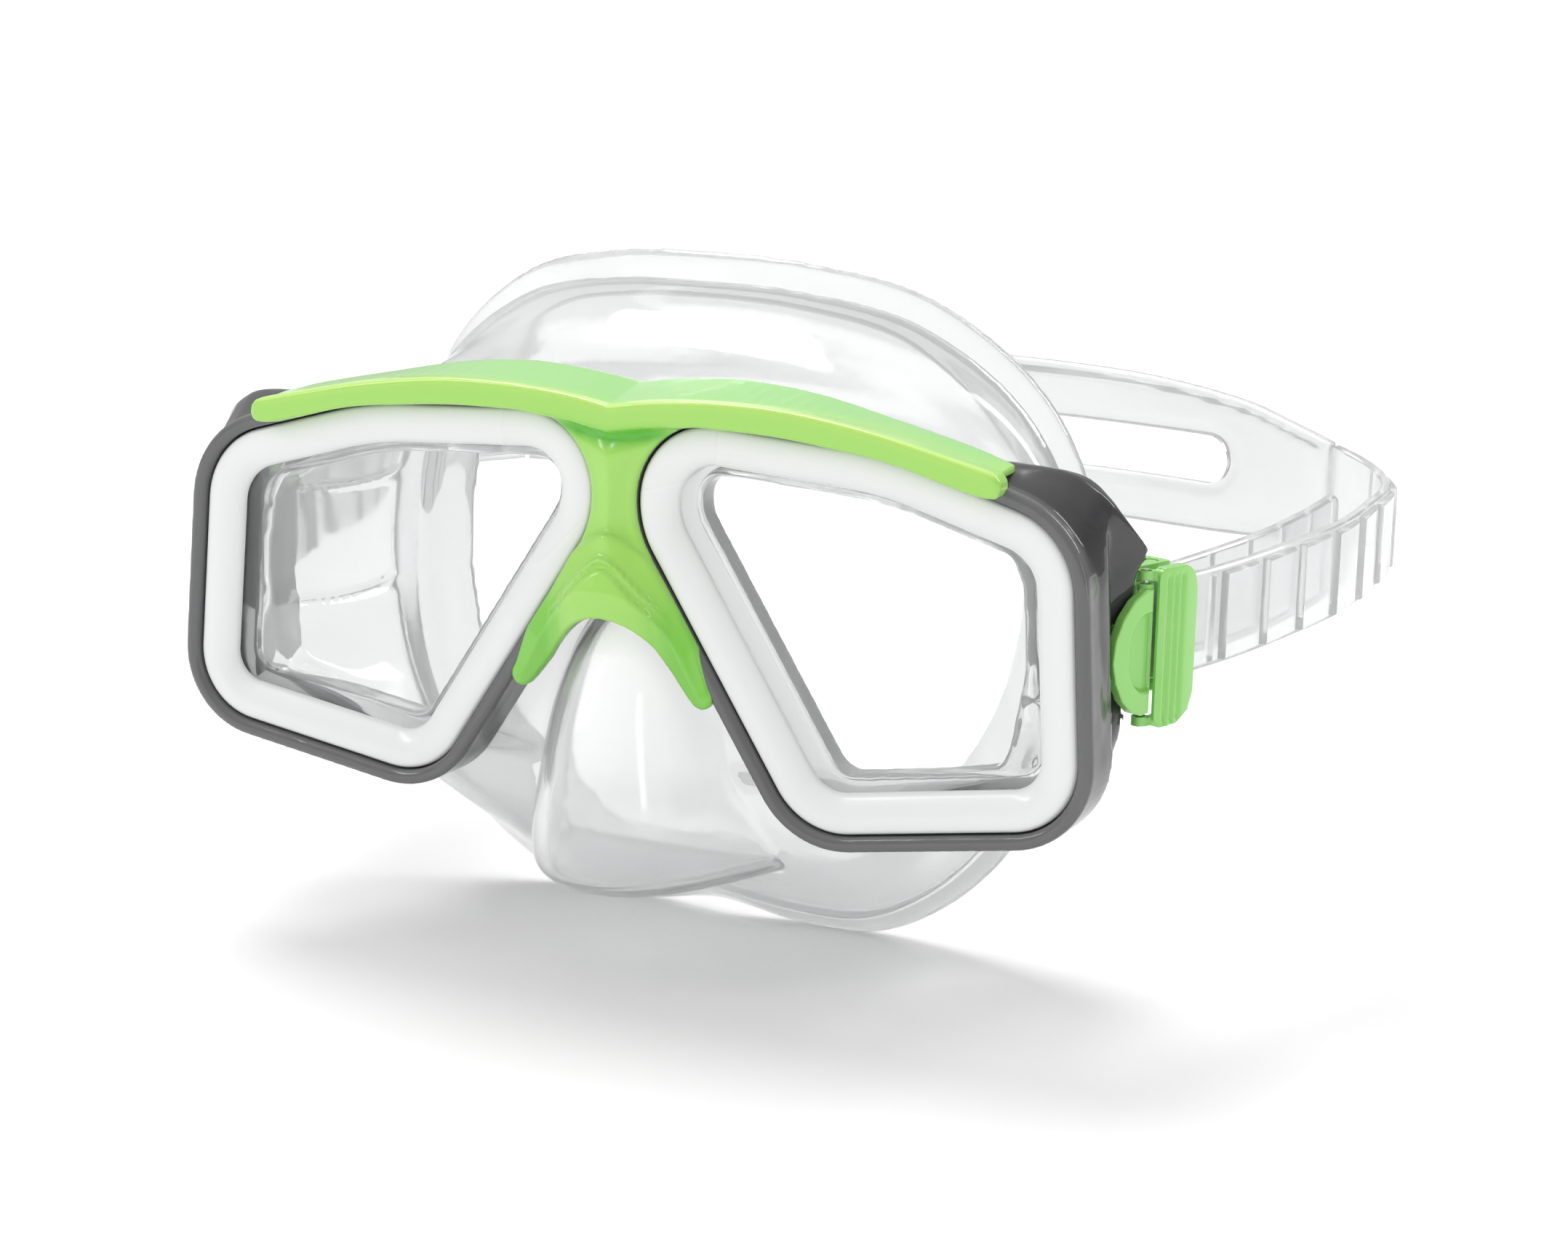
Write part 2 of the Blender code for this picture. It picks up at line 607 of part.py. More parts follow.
def side_path():
    """Centre line and width of the outer layer; it runs straight past the snorkel keeper's place."""
    start = buckle_point(LOOP_END_U + LOOP_GAP, ROLLER_AXIS[1] + LOOP_INNER_R + STRAP_THICKNESS / 2, STRAP_Z)
    forward = [(*start, STRAP_WIDTH), (86.6, 43.5, 2.9, STRAP_WIDTH), (90.0, 57.0, 3.6, STRAP_WIDTH),
               (92.4, 68.0, 4.2, STRAP_WIDTH)]
    straight = [(KEEPER_X, KEEPER_Y + 5.0 * k, 5.2 + 0.28 * k, STRAP_WIDTH) for k in range(-2, 3)]
    rear = [(90.4, 104.0, 6.4, 15.4), (85.4, 110.2, 7.0, 16.2), (79.5, 115.0, 7.8, 17.0)]
    return forward + straight + rear


def tail_path():
    """Centre line and width of the inner layer, which ends free."""
    start = buckle_point(LOOP_END_U + LOOP_GAP, ROLLER_AXIS[1] - LOOP_INNER_R - STRAP_THICKNESS / 2, STRAP_Z)
    return [(*start, STRAP_WIDTH), (80.4, 45.5, 3.1, STRAP_WIDTH), (83.6, 58.0, 3.8, STRAP_WIDTH),
            (85.6, 70.0, 4.6, STRAP_WIDTH), (86.6, 80.0, 5.2, STRAP_WIDTH), (86.8, 88.0, 5.6, 14.4)]


def build_strap_side(name, kit, mat):
    return loft(name, strap_rings(side_path(), 3), kit, mat)


def build_strap_tail(name, kit, mat):
    return loft(name, strap_rings(tail_path(), 3), kit, mat)


def band_half_path():
    return [(0.0, 131.5, 11.0, 27.0), (22.0, 130.4, 10.9, 27.0), (42.0, 127.2, 10.5, 26.4),
            (60.0, 122.4, 9.6, 24.0), (71.0, 118.7, 8.7, 20.0), (78.6, 115.4, 7.9, 17.4)]


def band_slot(kit):
    """Cutter for the long slot between the band's two straps."""
    half_length, half_height = 60.0, 4.3
    outline = []
    for k in range(13):
        angle = math.pi * (0.5 - k / 12)
        outline.append((half_length - half_height + half_height * math.cos(angle),
                        10.2 + half_height * math.sin(angle)))
    outline += [(-x, z) for x, z in reversed(outline)]
    return prism("slot", outline, 112.0, 140.0, front_view, kit)


def build_band(name, kit, mat):
    half = band_half_path()
    full = [(-x, y, z, w) for x, y, z, w in reversed(half[1:])] + half
    band = loft(name, strap_rings(full, 3), kit, mat)
    cut(band, band_slot(kit))
    return band


# ---------------------------------------------------------------- assembly

def make_materials():
    return {
        "smoke": principled("smoke_plastic", (0.06, 0.06, 0.065), 0.2),
        "white": principled("white_plastic", (0.85, 0.85, 0.86), 0.25),
        "green": principled("green_plastic", (0.32, 0.72, 0.16), 0.3),
        "clear": principled("clear_silicone", (0.85, 0.88, 0.9), 0.3, 0.5),
        "glass": principled("lens_glass", (0.85, 0.92, 0.92), 0.05, 0.3),
        "steel": principled("pin_steel", (0.6, 0.6, 0.62), 0.3),
    }


PAIRS = [("lens_bezel", build_bezel, "white"), ("lens", build_lens, "glass"),
         ("buckle_base", build_buckle_base, "green"), ("buckle_lever", build_lever, "green"),
         ("lever_pin", build_lever_pin, "steel"), ("strap_roller", build_roller, "green"),
         ("strap_loop", build_loop, "clear"), ("strap_side", build_strap_side, "clear"),
         ("strap_tail", build_strap_tail, "clear")]


# Empties on the buckle's axes, the (u, w) point of each, and the pieces that turn about it.
PIVOTS = [("buckle_swivel", SWIVEL_AXIS, ("buckle_base", "lever_pin", "strap_loop")),
          ("lever_hinge", LEVER_AXIS, ("buckle_lever",)),
          ("roller_axle", ROLLER_AXIS, ("strap_roller",))]


def add_pivots(side, sign, kit):
    """Hang the moving pieces on empties; the lever's and the roller's ride on the swivel's."""
    parent, parent_place = kit["origin"], Vector((0.0, 0.0, 0.0))
    for stem, centre, riders in PIVOTS:
        x, y, z = buckle_point(*centre, 0.0)
        place = Vector((sign * x, y, z)) * MM
        pivot = bpy.data.objects.new(f"{stem}_{side}", None)
        kit["parts"].objects.link(pivot)
        pivot.parent = parent
        pivot.location = place - parent_place
        for rider in riders:
            piece = bpy.data.objects[f"{rider}_{side}"]
            piece.data.transform(Matrix.Translation(-place))
            piece.parent = pivot
        if parent == kit["origin"]:
            parent, parent_place = pivot, place


def to_metres(coll):
    """Booleans work in millimetres; the finished meshes are scaled once to metres."""
    for obj in coll.objects:
        if obj.type == "MESH":
            obj.data.transform(Matrix.Scale(MM, 4))


def settle(origin, coll):
    """Put the bottom centre of the whole object's box at the world's origin."""
    corners = [v.co for obj in coll.objects if obj.type == "MESH" for v in obj.data.vertices]
    low = [min(c[axis] for c in corners) for axis in range(3)]
    high = [max(c[axis] for c in corners) for axis in range(3)]
    origin.location = (0.0, -(low[1] + high[1]) / 2, -low[2])


def main():
    clear_scene()
    origin = bpy.data.objects.new("design_origin", None)
    kit = {"origin": origin, "parts": new_collection("diving_mask"), "cutters": new_collection("cutters")}
    kit["parts"].objects.link(origin)
    mats = make_materials()
    build_frame(kit, mats["smoke"])
    build_trim(kit, mats["green"])
    build_skirt(kit, mats["clear"])
    build_band("strap_back_band", kit, mats["clear"])
    for stem, build, key in PAIRS:
        left = build(f"{stem}_left", kit, mats[key])
        mirror_copy(left, f"{stem}_right", kit, mats[key])
    to_metres(kit["parts"])
    settle(origin, kit["parts"])
    add_pivots("left", 1, kit)
    add_pivots("right", -1, kit)


main()
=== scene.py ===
import math

import bmesh
import bpy
import numpy as np
from mathutils import Matrix, Vector
from mathutils.geometry import delaunay_2d_cdt


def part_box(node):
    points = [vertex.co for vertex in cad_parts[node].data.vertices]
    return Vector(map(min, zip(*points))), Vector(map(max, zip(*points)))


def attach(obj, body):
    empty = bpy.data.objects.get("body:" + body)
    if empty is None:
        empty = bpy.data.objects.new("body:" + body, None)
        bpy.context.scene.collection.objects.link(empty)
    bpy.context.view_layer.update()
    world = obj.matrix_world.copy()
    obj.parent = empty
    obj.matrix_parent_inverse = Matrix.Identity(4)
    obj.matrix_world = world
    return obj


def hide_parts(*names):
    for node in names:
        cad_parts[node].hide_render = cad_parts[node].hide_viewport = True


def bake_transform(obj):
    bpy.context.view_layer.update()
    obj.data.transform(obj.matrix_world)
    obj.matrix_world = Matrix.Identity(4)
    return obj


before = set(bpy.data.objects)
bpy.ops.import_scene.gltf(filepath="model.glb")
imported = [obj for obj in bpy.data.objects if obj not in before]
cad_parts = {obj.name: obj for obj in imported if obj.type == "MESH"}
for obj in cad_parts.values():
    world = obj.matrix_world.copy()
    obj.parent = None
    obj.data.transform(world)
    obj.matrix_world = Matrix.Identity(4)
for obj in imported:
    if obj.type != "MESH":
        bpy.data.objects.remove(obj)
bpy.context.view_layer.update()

MM = 0.001
SIDES = (("left", 1), ("right", -1))
ALL_SMOOTH = 180.0

# The design frame, in millimetres: origin between the lenses at the front of their bezels,
# +X the wearer's left, +Y back to the head, +Z up. Two known faces of the frame place it.
LENS_FRONT_Y = 2.5
LENS_BACK_Y = 5.3
TRIM_TOP_Z = 35.9
SHIFT_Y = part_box("lens_left")[0].y / MM - LENS_FRONT_Y
SHIFT_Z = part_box("brow_bridge_trim")[1].z / MM - TRIM_TOP_Z
TO_ROW = Matrix.Translation((0.0, SHIFT_Y * MM, SHIFT_Z * MM)) @ Matrix.Scale(MM, 4)

# Lens opening: filleted hexagon as (x, z, fillet radius), on the wearer's left.
LENS_CORNERS = [(3.5, 30.5, 12.0), (44.0, 28.0, 60.0), (73.0, 19.5, 13.0),
                (76.0, -24.0, 11.0), (32.0, -31.0, 12.0), (4.0, 13.0, 15.0)]
FLANGE_WIDTH = 6.8
RIM_REACH = 2.6
LENS_INSET = 3.95
LENS_CHAMFER = 0.3

BUCKLE_ORIGIN = (77.1, 9.2)
BUCKLE_SPLAY = math.radians(20.0)
ROLLER_AXIS = (14.2, -5.7)
LOOP_R = 3.25
LOOP_END_U = 22.0
STRAP_Z = 2.3
STRAP_HALF = 0.85

SKIRT_WALL = 2.2
NOSE_WALL = 1.8
PORT_REACH = 64.8


# ---------------------------------------------------------------- mesh helpers

def add_object(name, bm, mat):
    """Finish a mesh in design millimetres as an object in the row frame."""
    mesh = bpy.data.meshes.new(name)
    bmesh.ops.recalc_face_normals(bm, faces=bm.faces)
    bm.to_mesh(mesh)
    bm.free()
    mesh.transform(TO_ROW)
    obj = bpy.data.objects.new(name, mesh)
    bpy.context.scene.collection.objects.link(obj)
    mesh.materials.append(mat)
    return obj


def shade(obj, angle):
    obj.data.shade_smooth()
    obj.data.set_sharp_from_angle(angle=math.radians(angle))


def settle(obj, body, slot, *nodes, smooth):
    """Put a finished piece on its body, in place of its frame nodes. The slot is not used."""
    shade(obj, smooth)
    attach(obj, body)
    if nodes:
        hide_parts(*nodes)


def mesh_from(points, faces, triangulate=False):
    """A bmesh of the given faces, with their normals facing out."""
    bm = bmesh.new()
    verts = [bm.verts.new(p) for p in points]
    for face in faces:
        bm.faces.new([verts[i] for i in face])
    bm.normal_update()
    if triangulate:
        bmesh.ops.triangulate(bm, faces=bm.faces)
    bmesh.ops.recalc_face_normals(bm, faces=bm.faces)
    return bm


def loft(rings, looped=False, triangulate=False):
    """A skin through closed rings with equal counts: a closed loop, or capped at both ends."""
    size, count = len(rings[0]), len(rings)
    points = [p for ring in rings for p in ring]
    faces = []
    for i in range(count if looped else count - 1):
        low, high = i * size, ((i + 1) % count) * size
        for k in range(size):
            n = (k + 1) % size
            faces.append((low + k, low + n, high + n, high + k))
    if not looped:
        faces.append(tuple(range(size)))
        faces.append(tuple(range(len(points) - size, len(points))))
    return mesh_from(points, faces, triangulate)


def merged(bms):
    """One bmesh that holds all the given ones."""
    out = bmesh.new()
    for bm in bms:
        mesh = bpy.data.meshes.new("part")
        bm.to_mesh(mesh)
        bm.free()
        out.from_mesh(mesh)
        bpy.data.meshes.remove(mesh)
    return out


def scratch(bm):
    """A passing object that carries modifiers for a bmesh."""
    mesh = bpy.data.meshes.new("scratch")
    bm.to_mesh(mesh)
    bm.free()
    obj = bpy.data.objects.new("scratch", mesh)
    bpy.context.scene.collection.objects.link(obj)
    return obj


def baked(obj):
    """The object's evaluated mesh as a bmesh; the object is removed."""
    bpy.context.view_layer.update()
    evaluated = obj.evaluated_get(bpy.context.evaluated_depsgraph_get())
    mesh = bpy.data.meshes.new_from_object(evaluated)
    bm = bmesh.new()
    bm.from_mesh(mesh)
    bpy.data.objects.remove(obj, do_unlink=True)
    bpy.data.meshes.remove(mesh)
    return bm


def boolean(bm, other, operation):
    """Two closed skins joined, or one cut from the other. Both bmeshes are used up."""
    body, tool = scratch(bm), scratch(other)
    mod = body.modifiers.new("cut", "BOOLEAN")
    mod.operation = operation
    mod.solver = "EXACT"
    mod.object = tool
    out = baked(body)
    bpy.data.objects.remove(tool, do_unlink=True)
    bmesh.ops.triangulate(out, faces=out.faces)
    return out


def fused(bm, voxel, passes):
    """Overlapping closed pieces as one moulded skin, with its edges eased."""
    obj = scratch(bm)
    remesh = obj.modifiers.new("fuse", "REMESH")
    remesh.mode = "VOXEL"
    remesh.voxel_size = voxel
    relax = obj.modifiers.new("ease", "SMOOTH")
    relax.factor = 0.5
    relax.iterations = passes
    return baked(obj)


def mirrored(bm):
    """The same piece on the wearer's other side."""
    out = bm.copy()
    bmesh.ops.scale(out, vec=(-1.0, 1.0, 1.0), verts=out.verts)
    bmesh.ops.reverse_faces(out, faces=out.faces)
    return out


# ---------------------------------------------------------------- curves and outlines

def catmull_rom(a, b, c, d, t):
    """The point at t on the span from b to c."""
    return 0.5 * (2 * b + (c - a) * t + (2 * a - 5 * b + 4 * c - d) * t * t
                  + (3 * b - a - 3 * c + d) * t ** 3)


def smooth_path(points, steps):
    """Catmull-Rom curve through the points, with the given number of steps a span."""
    pts = [Vector(p) for p in points]
    ends = [2 * pts[0] - pts[1]] + pts + [2 * pts[-1] - pts[-2]]
    out = []
    for i in range(1, len(ends) - 2):
        out.extend(catmull_rom(*ends[i - 1:i + 3], k / steps) for k in range(steps))
    out.append(pts[-1])
    return out


def closed_smooth(points, steps):
    """Catmull-Rom curve that closes on itself."""
    pts = [Vector(p) for p in points]
    count = len(pts)
    out = []
    for i in range(count):
        span = pts[i - 1], pts[i], pts[(i + 1) % count], pts[(i + 2) % count]
        out.extend(catmull_rom(*span, k / steps) for k in range(steps))
    return out


def lens_outline(offset, arc_steps=14, straight_steps=5):
    """Clockwise filleted outline of the left lens opening, moved outwards by offset."""
    count = len(LENS_CORNERS)
    arcs = []
    for i in range(count):
        here = Vector(LENS_CORNERS[i][:2])
        before = (here - Vector(LENS_CORNERS[i - 1][:2])).normalized()
        after = (Vector(LENS_CORNERS[(i + 1) % count][:2]) - here).normalized()
        normal_in = Vector((-before.y, before.x))
        normal_out = Vector((-after.y, after.x))
        half = (normal_in + normal_out).normalized()
        centre = here - half * (LENS_CORNERS[i][2] / half.dot(normal_out))
        radius = LENS_CORNERS[i][2] + offset
        start = math.atan2(normal_in.y, normal_in.x)
        turn = normal_in.angle_signed(normal_out)
        angles = [start - turn * k / arc_steps for k in range(arc_steps + 1)]
        arcs.append([centre + radius * Vector((math.cos(a), math.sin(a))) for a in angles])
    out = []
    for i in range(count):
        out.extend(arcs[i])
        last, first = arcs[i][-1], arcs[(i + 1) % count][0]
        out.extend(last.lerp(first, k / straight_steps) for k in range(1, straight_steps))
    return [(p.x, p.y) for p in out]


def swept_ring(section):
    """A closed section of (offset, y) carried round the left lens outline."""
    rings = [[(x, y, z) for x, z in lens_outline(offset)] for offset, y in section]
    return loft(rings, looped=True)


def buckle_point(u, w, z):
    """The design point at (u, w, z) of the left buckle: u back along it, w outwards, z up."""
    x = BUCKLE_ORIGIN[0] + w * math.cos(BUCKLE_SPLAY) + u * math.sin(BUCKLE_SPLAY)
    y = BUCKLE_ORIGIN[1] - w * math.sin(BUCKLE_SPLAY) + u * math.cos(BUCKLE_SPLAY)
    return Vector((x, y, z))


def smoothstep(low, high, value):
    t = np.clip((value - low) / (high - low), 0.0, 1.0)
    return t * t * (3.0 - 2.0 * t)


# ---------------------------------------------------------------- moulded plates

HEX_ROW = 0.87
BATCH = 4000
EDGE_SHARES = (0.08, 0.3, 0.62, 1.0)


def inside(points, loop):
    """Which of the points lie inside a closed loop."""
    x, y = points[:, 0][:, None], points[:, 1][:, None]
    a, b = loop, np.roll(loop, -1, axis=0)
    crosses = (a[:, 1] > y) != (b[:, 1] > y)
    at = a[:, 0] + (y - a[:, 1]) / (b[:, 1] - a[:, 1] + 1e-12) * (b[:, 0] - a[:, 0])
    return (crosses & (x < at)).sum(axis=1) % 2 == 1


def edge_distance(points, loops):
    """Distance from each point to the nearest edge of the loops."""
    best = np.full(len(points), 1e9)
    for loop in loops:
        a, b = loop, np.roll(loop, -1, axis=0)
        ab = b - a
        length2 = (ab ** 2).sum(axis=1) + 1e-12
        for start in range(0, len(points), BATCH):
            part = points[start:start + BATCH, None, :]
            t = np.clip(((part - a) * ab).sum(axis=2) / length2, 0.0, 1.0)
            gap = np.linalg.norm(part - (a + t[:, :, None] * ab), axis=2).min(axis=1)
            best[start:start + BATCH] = np.minimum(best[start:start + BATCH], gap)
    return best


def resampled(loop, spacing):
    """A closed loop with points about a spacing apart; its own points are kept."""
    out = []
    for i, point in enumerate(loop):
        a, b = Vector(point), Vector(loop[(i + 1) % len(loop)])
        count = max(1, round((b - a).length / spacing))
        out.extend(tuple(a.lerp(b, k / count)) for k in range(count))
    return np.array(out)


def within(points, loops):
    """Which of the points lie inside the first loop and outside the others."""
    keep = inside(points, loops[0])
    for hole in loops[1:]:
        keep &= ~inside(points, hole)
    return keep


def hex_grid(loops, spacing, clearance):
    """Evenly spaced points over a sheet, at least a clearance from its edges."""
    low, high = loops[0].min(axis=0), loops[0].max(axis=0)
    grid = []
    for i, b in enumerate(np.arange(low[1], high[1], spacing * HEX_ROW)):
        a = np.arange(low[0] + (i % 2) * spacing / 2, high[0], spacing)
        grid.append(np.stack([a, np.full(len(a), b)], axis=1))
    grid = np.concatenate(grid)
    grid = grid[within(grid, loops)]
    return grid[edge_distance(grid, loops) > clearance]


def edge_rows(loops, round_r):
    """Rows of points that follow every edge of a sheet, where the rounding needs them."""
    rows = []
    for loop in loops:
        tangent = np.roll(loop, -1, axis=0) - np.roll(loop, 1, axis=0)
        tangent /= np.linalg.norm(tangent, axis=1)[:, None] + 1e-12
        normal = np.stack([-tangent[:, 1], tangent[:, 0]], axis=1)
        for share in EDGE_SHARES:
            for side in (1, -1):
                row = loop + normal * side * round_r * share
                row = row[within(row, loops)]
                rows.append(row[edge_distance(row, loops) > round_r * share * 0.93])
    return rows


def plate(outline, spacing, round_r, levels, position, holes=()):
    """A moulded plate from a flat outline. levels(points) gives its front and back levels, both
    edges are rounded by round_r, and position(a, b, level) maps a point into the design frame."""
    loops = [resampled(loop, spacing) for loop in (outline, *holes)]
    grid = hex_grid(loops, spacing, max(round_r, spacing * 0.6))
    points = np.concatenate(loops + edge_rows(loops, round_r) + [grid])
    edges, first = [], 0
    for loop in loops:
        count = len(loop)
        edges += [(first + k, first + (k + 1) % count) for k in range(count)]
        first += count
    made, _, faces, _, _, _ = delaunay_2d_cdt([Vector(p) for p in points], edges, [], 1, 1e-5)
    flat = np.array([tuple(v) for v in made])
    centres = np.array([flat[list(f)].mean(axis=0) for f in faces])
    faces = [tuple(f) for f, ok in zip(faces, within(centres, loops)) if ok]

    front, back = levels(flat)
    short = np.maximum(round_r - edge_distance(flat, loops), 0.0)
    drop = round_r - np.sqrt(np.maximum(round_r ** 2 - short ** 2, 0.0))
    drop = np.minimum(drop, np.abs(back - front) * 0.49)
    toward = np.sign(back - front)
    front, back = front + toward * drop, back - toward * drop
    verts = [tuple(position(*point, level)) for side in (front, back) for point, level in zip(flat, side)]

    count = len(flat)
    border = {(f[k], f[(k + 1) % len(f)]): True for f in faces for k in range(len(f))}
    solid = faces + [tuple(i + count for i in reversed(f)) for f in faces]
    solid += [(b, a, a + count, b + count) for a, b in border if (b, a) not in border]
    bm = mesh_from(verts, solid)
    bmesh.ops.delete(bm, geom=[v for v in bm.verts if not v.link_faces], context="VERTS")
    return bm


# ---------------------------------------------------------------- materials

def nodes_of(mat):
    return mat.node_tree.nodes, mat.node_tree.links


def principled(name, **values):
    """A material and its shader, with the named sockets set."""
    mat = bpy.data.materials.new(name)
    mat.use_nodes = True
    shader = mat.node_tree.nodes["Principled BSDF"]
    for key, value in values.items():
        socket = shader.inputs[key.replace("_", " ")]
        socket.default_value = (*value, 1.0) if isinstance(value, tuple) else value
    return mat, shader


def noise(mat, scale, detail=3.0):
    """Noise in the row frame; scale is in cells a millimetre."""
    nodes, links = nodes_of(mat)
    coords = nodes.new("ShaderNodeTexCoord")
    texture = nodes.new("ShaderNodeTexNoise")
    texture.inputs["Scale"].default_value = scale / MM
    texture.inputs["Detail"].default_value = detail
    links.new(coords.outputs["Object"], texture.inputs["Vector"])
    return texture.outputs["Fac"]


def ramp(mat, fac, low, high):
    """Map a 0..1 value to the range low..high."""
    nodes, links = nodes_of(mat)
    node = nodes.new("ShaderNodeMapRange")
    node.inputs["To Min"].default_value = low
    node.inputs["To Max"].default_value = high
    links.new(fac, node.inputs["Value"])
    return node.outputs["Result"]


def mix_colour(mat, fac, first, second):
    nodes, links = nodes_of(mat)
    node = nodes.new("ShaderNodeMix")
    node.data_type = "RGBA"
    for socket, value in ((6, first), (7, second)):
        if isinstance(value, tuple):
            node.inputs[socket].default_value = (*value, 1.0)
        else:
            links.new(value, node.inputs[socket])
    links.new(fac, node.inputs[0])
    return node.outputs[2]


def bump(mat, shader, fac, strength, distance_mm):
    nodes, links = nodes_of(mat)
    node = nodes.new("ShaderNodeBump")
    node.inputs["Strength"].default_value = strength
    node.inputs["Distance"].default_value = distance_mm * MM
    links.new(fac, node.inputs["Height"])
    links.new(node.outputs["Normal"], shader.inputs["Normal"])


def silicone(name, milk):
    """Clear liquid silicone rubber: glossy, a little milky, and cloudier in places."""
    mat, shader = principled(name, Base_Color=(0.94, 0.945, 0.95), Roughness=0.12, IOR=1.41,
                             Transmission_Weight=1.0 - milk)
    _, links = nodes_of(mat)
    cloud = noise(mat, 0.03, 1.0)
    links.new(mix_colour(mat, cloud, (0.91, 0.914, 0.918), (0.96, 0.963, 0.966)),
              shader.inputs["Base Color"])
    links.new(ramp(mat, noise(mat, 0.08, 1.0), 0.05, 0.16), shader.inputs["Roughness"])
    bump(mat, shader, noise(mat, 0.2, 1.0), 0.1, 0.25)
    return mat


def green_plastic(name, lime, deep, roughness, reads_painted_light=False):
    """Translucent green moulding. When painted, its colour is a per-vertex colour of painted light and
    shade: a painted lime highlight on the crease and painted shade low on the nose. Otherwise it is a random
    mottle between lime and deep.
    """
    mat, shader = principled(name, Base_Color=lime, Roughness=roughness, IOR=1.48,
                             Coat_Weight=0.3)
    nodes, links = nodes_of(mat)
    if reads_painted_light:
        # the per-vertex colour holds painted light and shade
        painted_light_tint = nodes.new("ShaderNodeAttribute")
        painted_light_tint.attribute_name = "painted_light_tint"
        links.new(painted_light_tint.outputs["Color"], shader.inputs["Base Color"])
    else:
        links.new(mix_colour(mat, noise(mat, 0.03), lime, deep), shader.inputs["Base Color"])
    links.new(ramp(mat, noise(mat, 0.2), roughness * 0.8, roughness * 1.3), shader.inputs["Roughness"])
    bump(mat, shader, noise(mat, 0.15, 1.0), 0.1, 0.1)
    return mat


def white_plastic():
    mat, shader = principled("bezel_white", Base_Color=(0.84, 0.845, 0.85), Roughness=0.28, IOR=1.49,
                             Coat_Weight=0.3)
    _, links = nodes_of(mat)
    links.new(mix_colour(mat, noise(mat, 0.015, 0.0), (0.83, 0.835, 0.84), (0.86, 0.863, 0.866)),
              shader.inputs["Base Color"])
    links.new(ramp(mat, noise(mat, 0.03, 0.0), 0.26, 0.3), shader.inputs["Roughness"])
    bump(mat, shader, noise(mat, 0.12, 1.0), 0.1, 0.1)
    return mat


def smoke_plastic():
    """Smoke plastic, lighter along the front of the lip."""
    mat, shader = principled("frame_smoke", Base_Color=(0.13, 0.13, 0.135), Roughness=0.1, IOR=1.5,
                             Transmission_Weight=0.3)
    nodes, links = nodes_of(mat)
    coords = nodes.new("ShaderNodeTexCoord")
    split = nodes.new("ShaderNodeSeparateXYZ")
    depth = nodes.new("ShaderNodeMapRange")
    depth.inputs["From Min"].default_value = (SHIFT_Y - 0.1) * MM
    depth.inputs["From Max"].default_value = (SHIFT_Y + 2.2) * MM
    links.new(coords.outputs["Object"], split.inputs["Vector"])
    links.new(split.outputs["Y"], depth.inputs["Value"])
    dark = mix_colour(mat, noise(mat, 0.06), (0.03, 0.03, 0.032), (0.1, 0.1, 0.104))
    links.new(mix_colour(mat, depth.outputs["Result"], (0.19, 0.19, 0.195), dark),
              shader.inputs["Base Color"])
    links.new(ramp(mat, noise(mat, 0.1), 0.05, 0.16), shader.inputs["Roughness"])
    bump(mat, shader, noise(mat, 0.12, 1.0), 0.5, 0.8)
    return mat


def thin_smoke():
    """The same smoke plastic where it is thin enough to see light through."""
    mat, shader = principled("smoke_thin", Base_Color=(0.5, 0.5, 0.505), Roughness=0.15, IOR=1.5,
                             Transmission_Weight=0.6)
    _, links = nodes_of(mat)
    links.new(mix_colour(mat, noise(mat, 0.04, 1.0), (0.62, 0.62, 0.625), (0.78, 0.78, 0.785)),
              shader.inputs["Base Color"])
    return mat


def lens_material():
    mat, shader = principled("lens_clear", Base_Color=(0.985, 0.995, 0.992), Roughness=0.0, IOR=1.5,
                             Transmission_Weight=1.0)
    _, links = nodes_of(mat)
    links.new(ramp(mat, noise(mat, 0.08), 0.0, 0.015), shader.inputs["Roughness"])
    return mat


def steel():
    mat, shader = principled("pin_steel", Base_Color=(0.62, 0.62, 0.64), Roughness=0.3, Metallic=1.0)
    _, links = nodes_of(mat)
    links.new(ramp(mat, noise(mat, 1.0), 0.2, 0.4), shader.inputs["Roughness"])
    return mat


def make_materials():
    return {"clear": silicone("silicone_clear", 0.22), "strap": silicone("silicone_strap", 0.3),
            # the trim's colour comes from its vertices, which carry painted light and shade
            "trim": green_plastic("trim_green_painted_light", (0.36, 0.72, 0.15), (0.28, 0.65, 0.11), 0.2, True),
            "buckle": green_plastic("buckle_green", (0.35, 0.72, 0.19), (0.2, 0.6, 0.1), 0.2),
            "white": white_plastic(), "smoke": smoke_plastic(), "thin_smoke": thin_smoke(),
            "glass": lens_material(), "steel": steel()}


# ---------------------------------------------------------------- frame, bezels, lenses

def bezel_section():
    """(offset, y) of the bezel: round outer lip, crowned face, step down to the lens."""
    face = smooth_path([(0.0, 1.2), (-0.22, 0.45), (-0.9, 0.05), (-2.6, 0.02), (-4.4, 0.5),
                        (-5.6, 1.15), (-6.1, 1.7), (-6.2, 2.2)], 4)
    return [(p.x, p.y) for p in face] + [(-3.6, 2.25), (-3.6, 5.3), (0.0, 5.3)]


def rim_section():
    """(offset, y) of the rim and its flange, behind the skirt's collar."""
    lip = smooth_path([(0.16, 0.6), (0.22, -0.2), (0.6, -0.62), (1.3, -0.72), (2.0, -0.66), (2.42, -0.3),
                       (2.5, 0.6)], 4)
    return ([(p.x, p.y) for p in lip] + [(2.5, 4.0), (2.5, 8.3), (-RIM_REACH, 8.3),
                                        (-RIM_REACH, 6.2), (0.16, 6.2), (0.16, 3.0)])


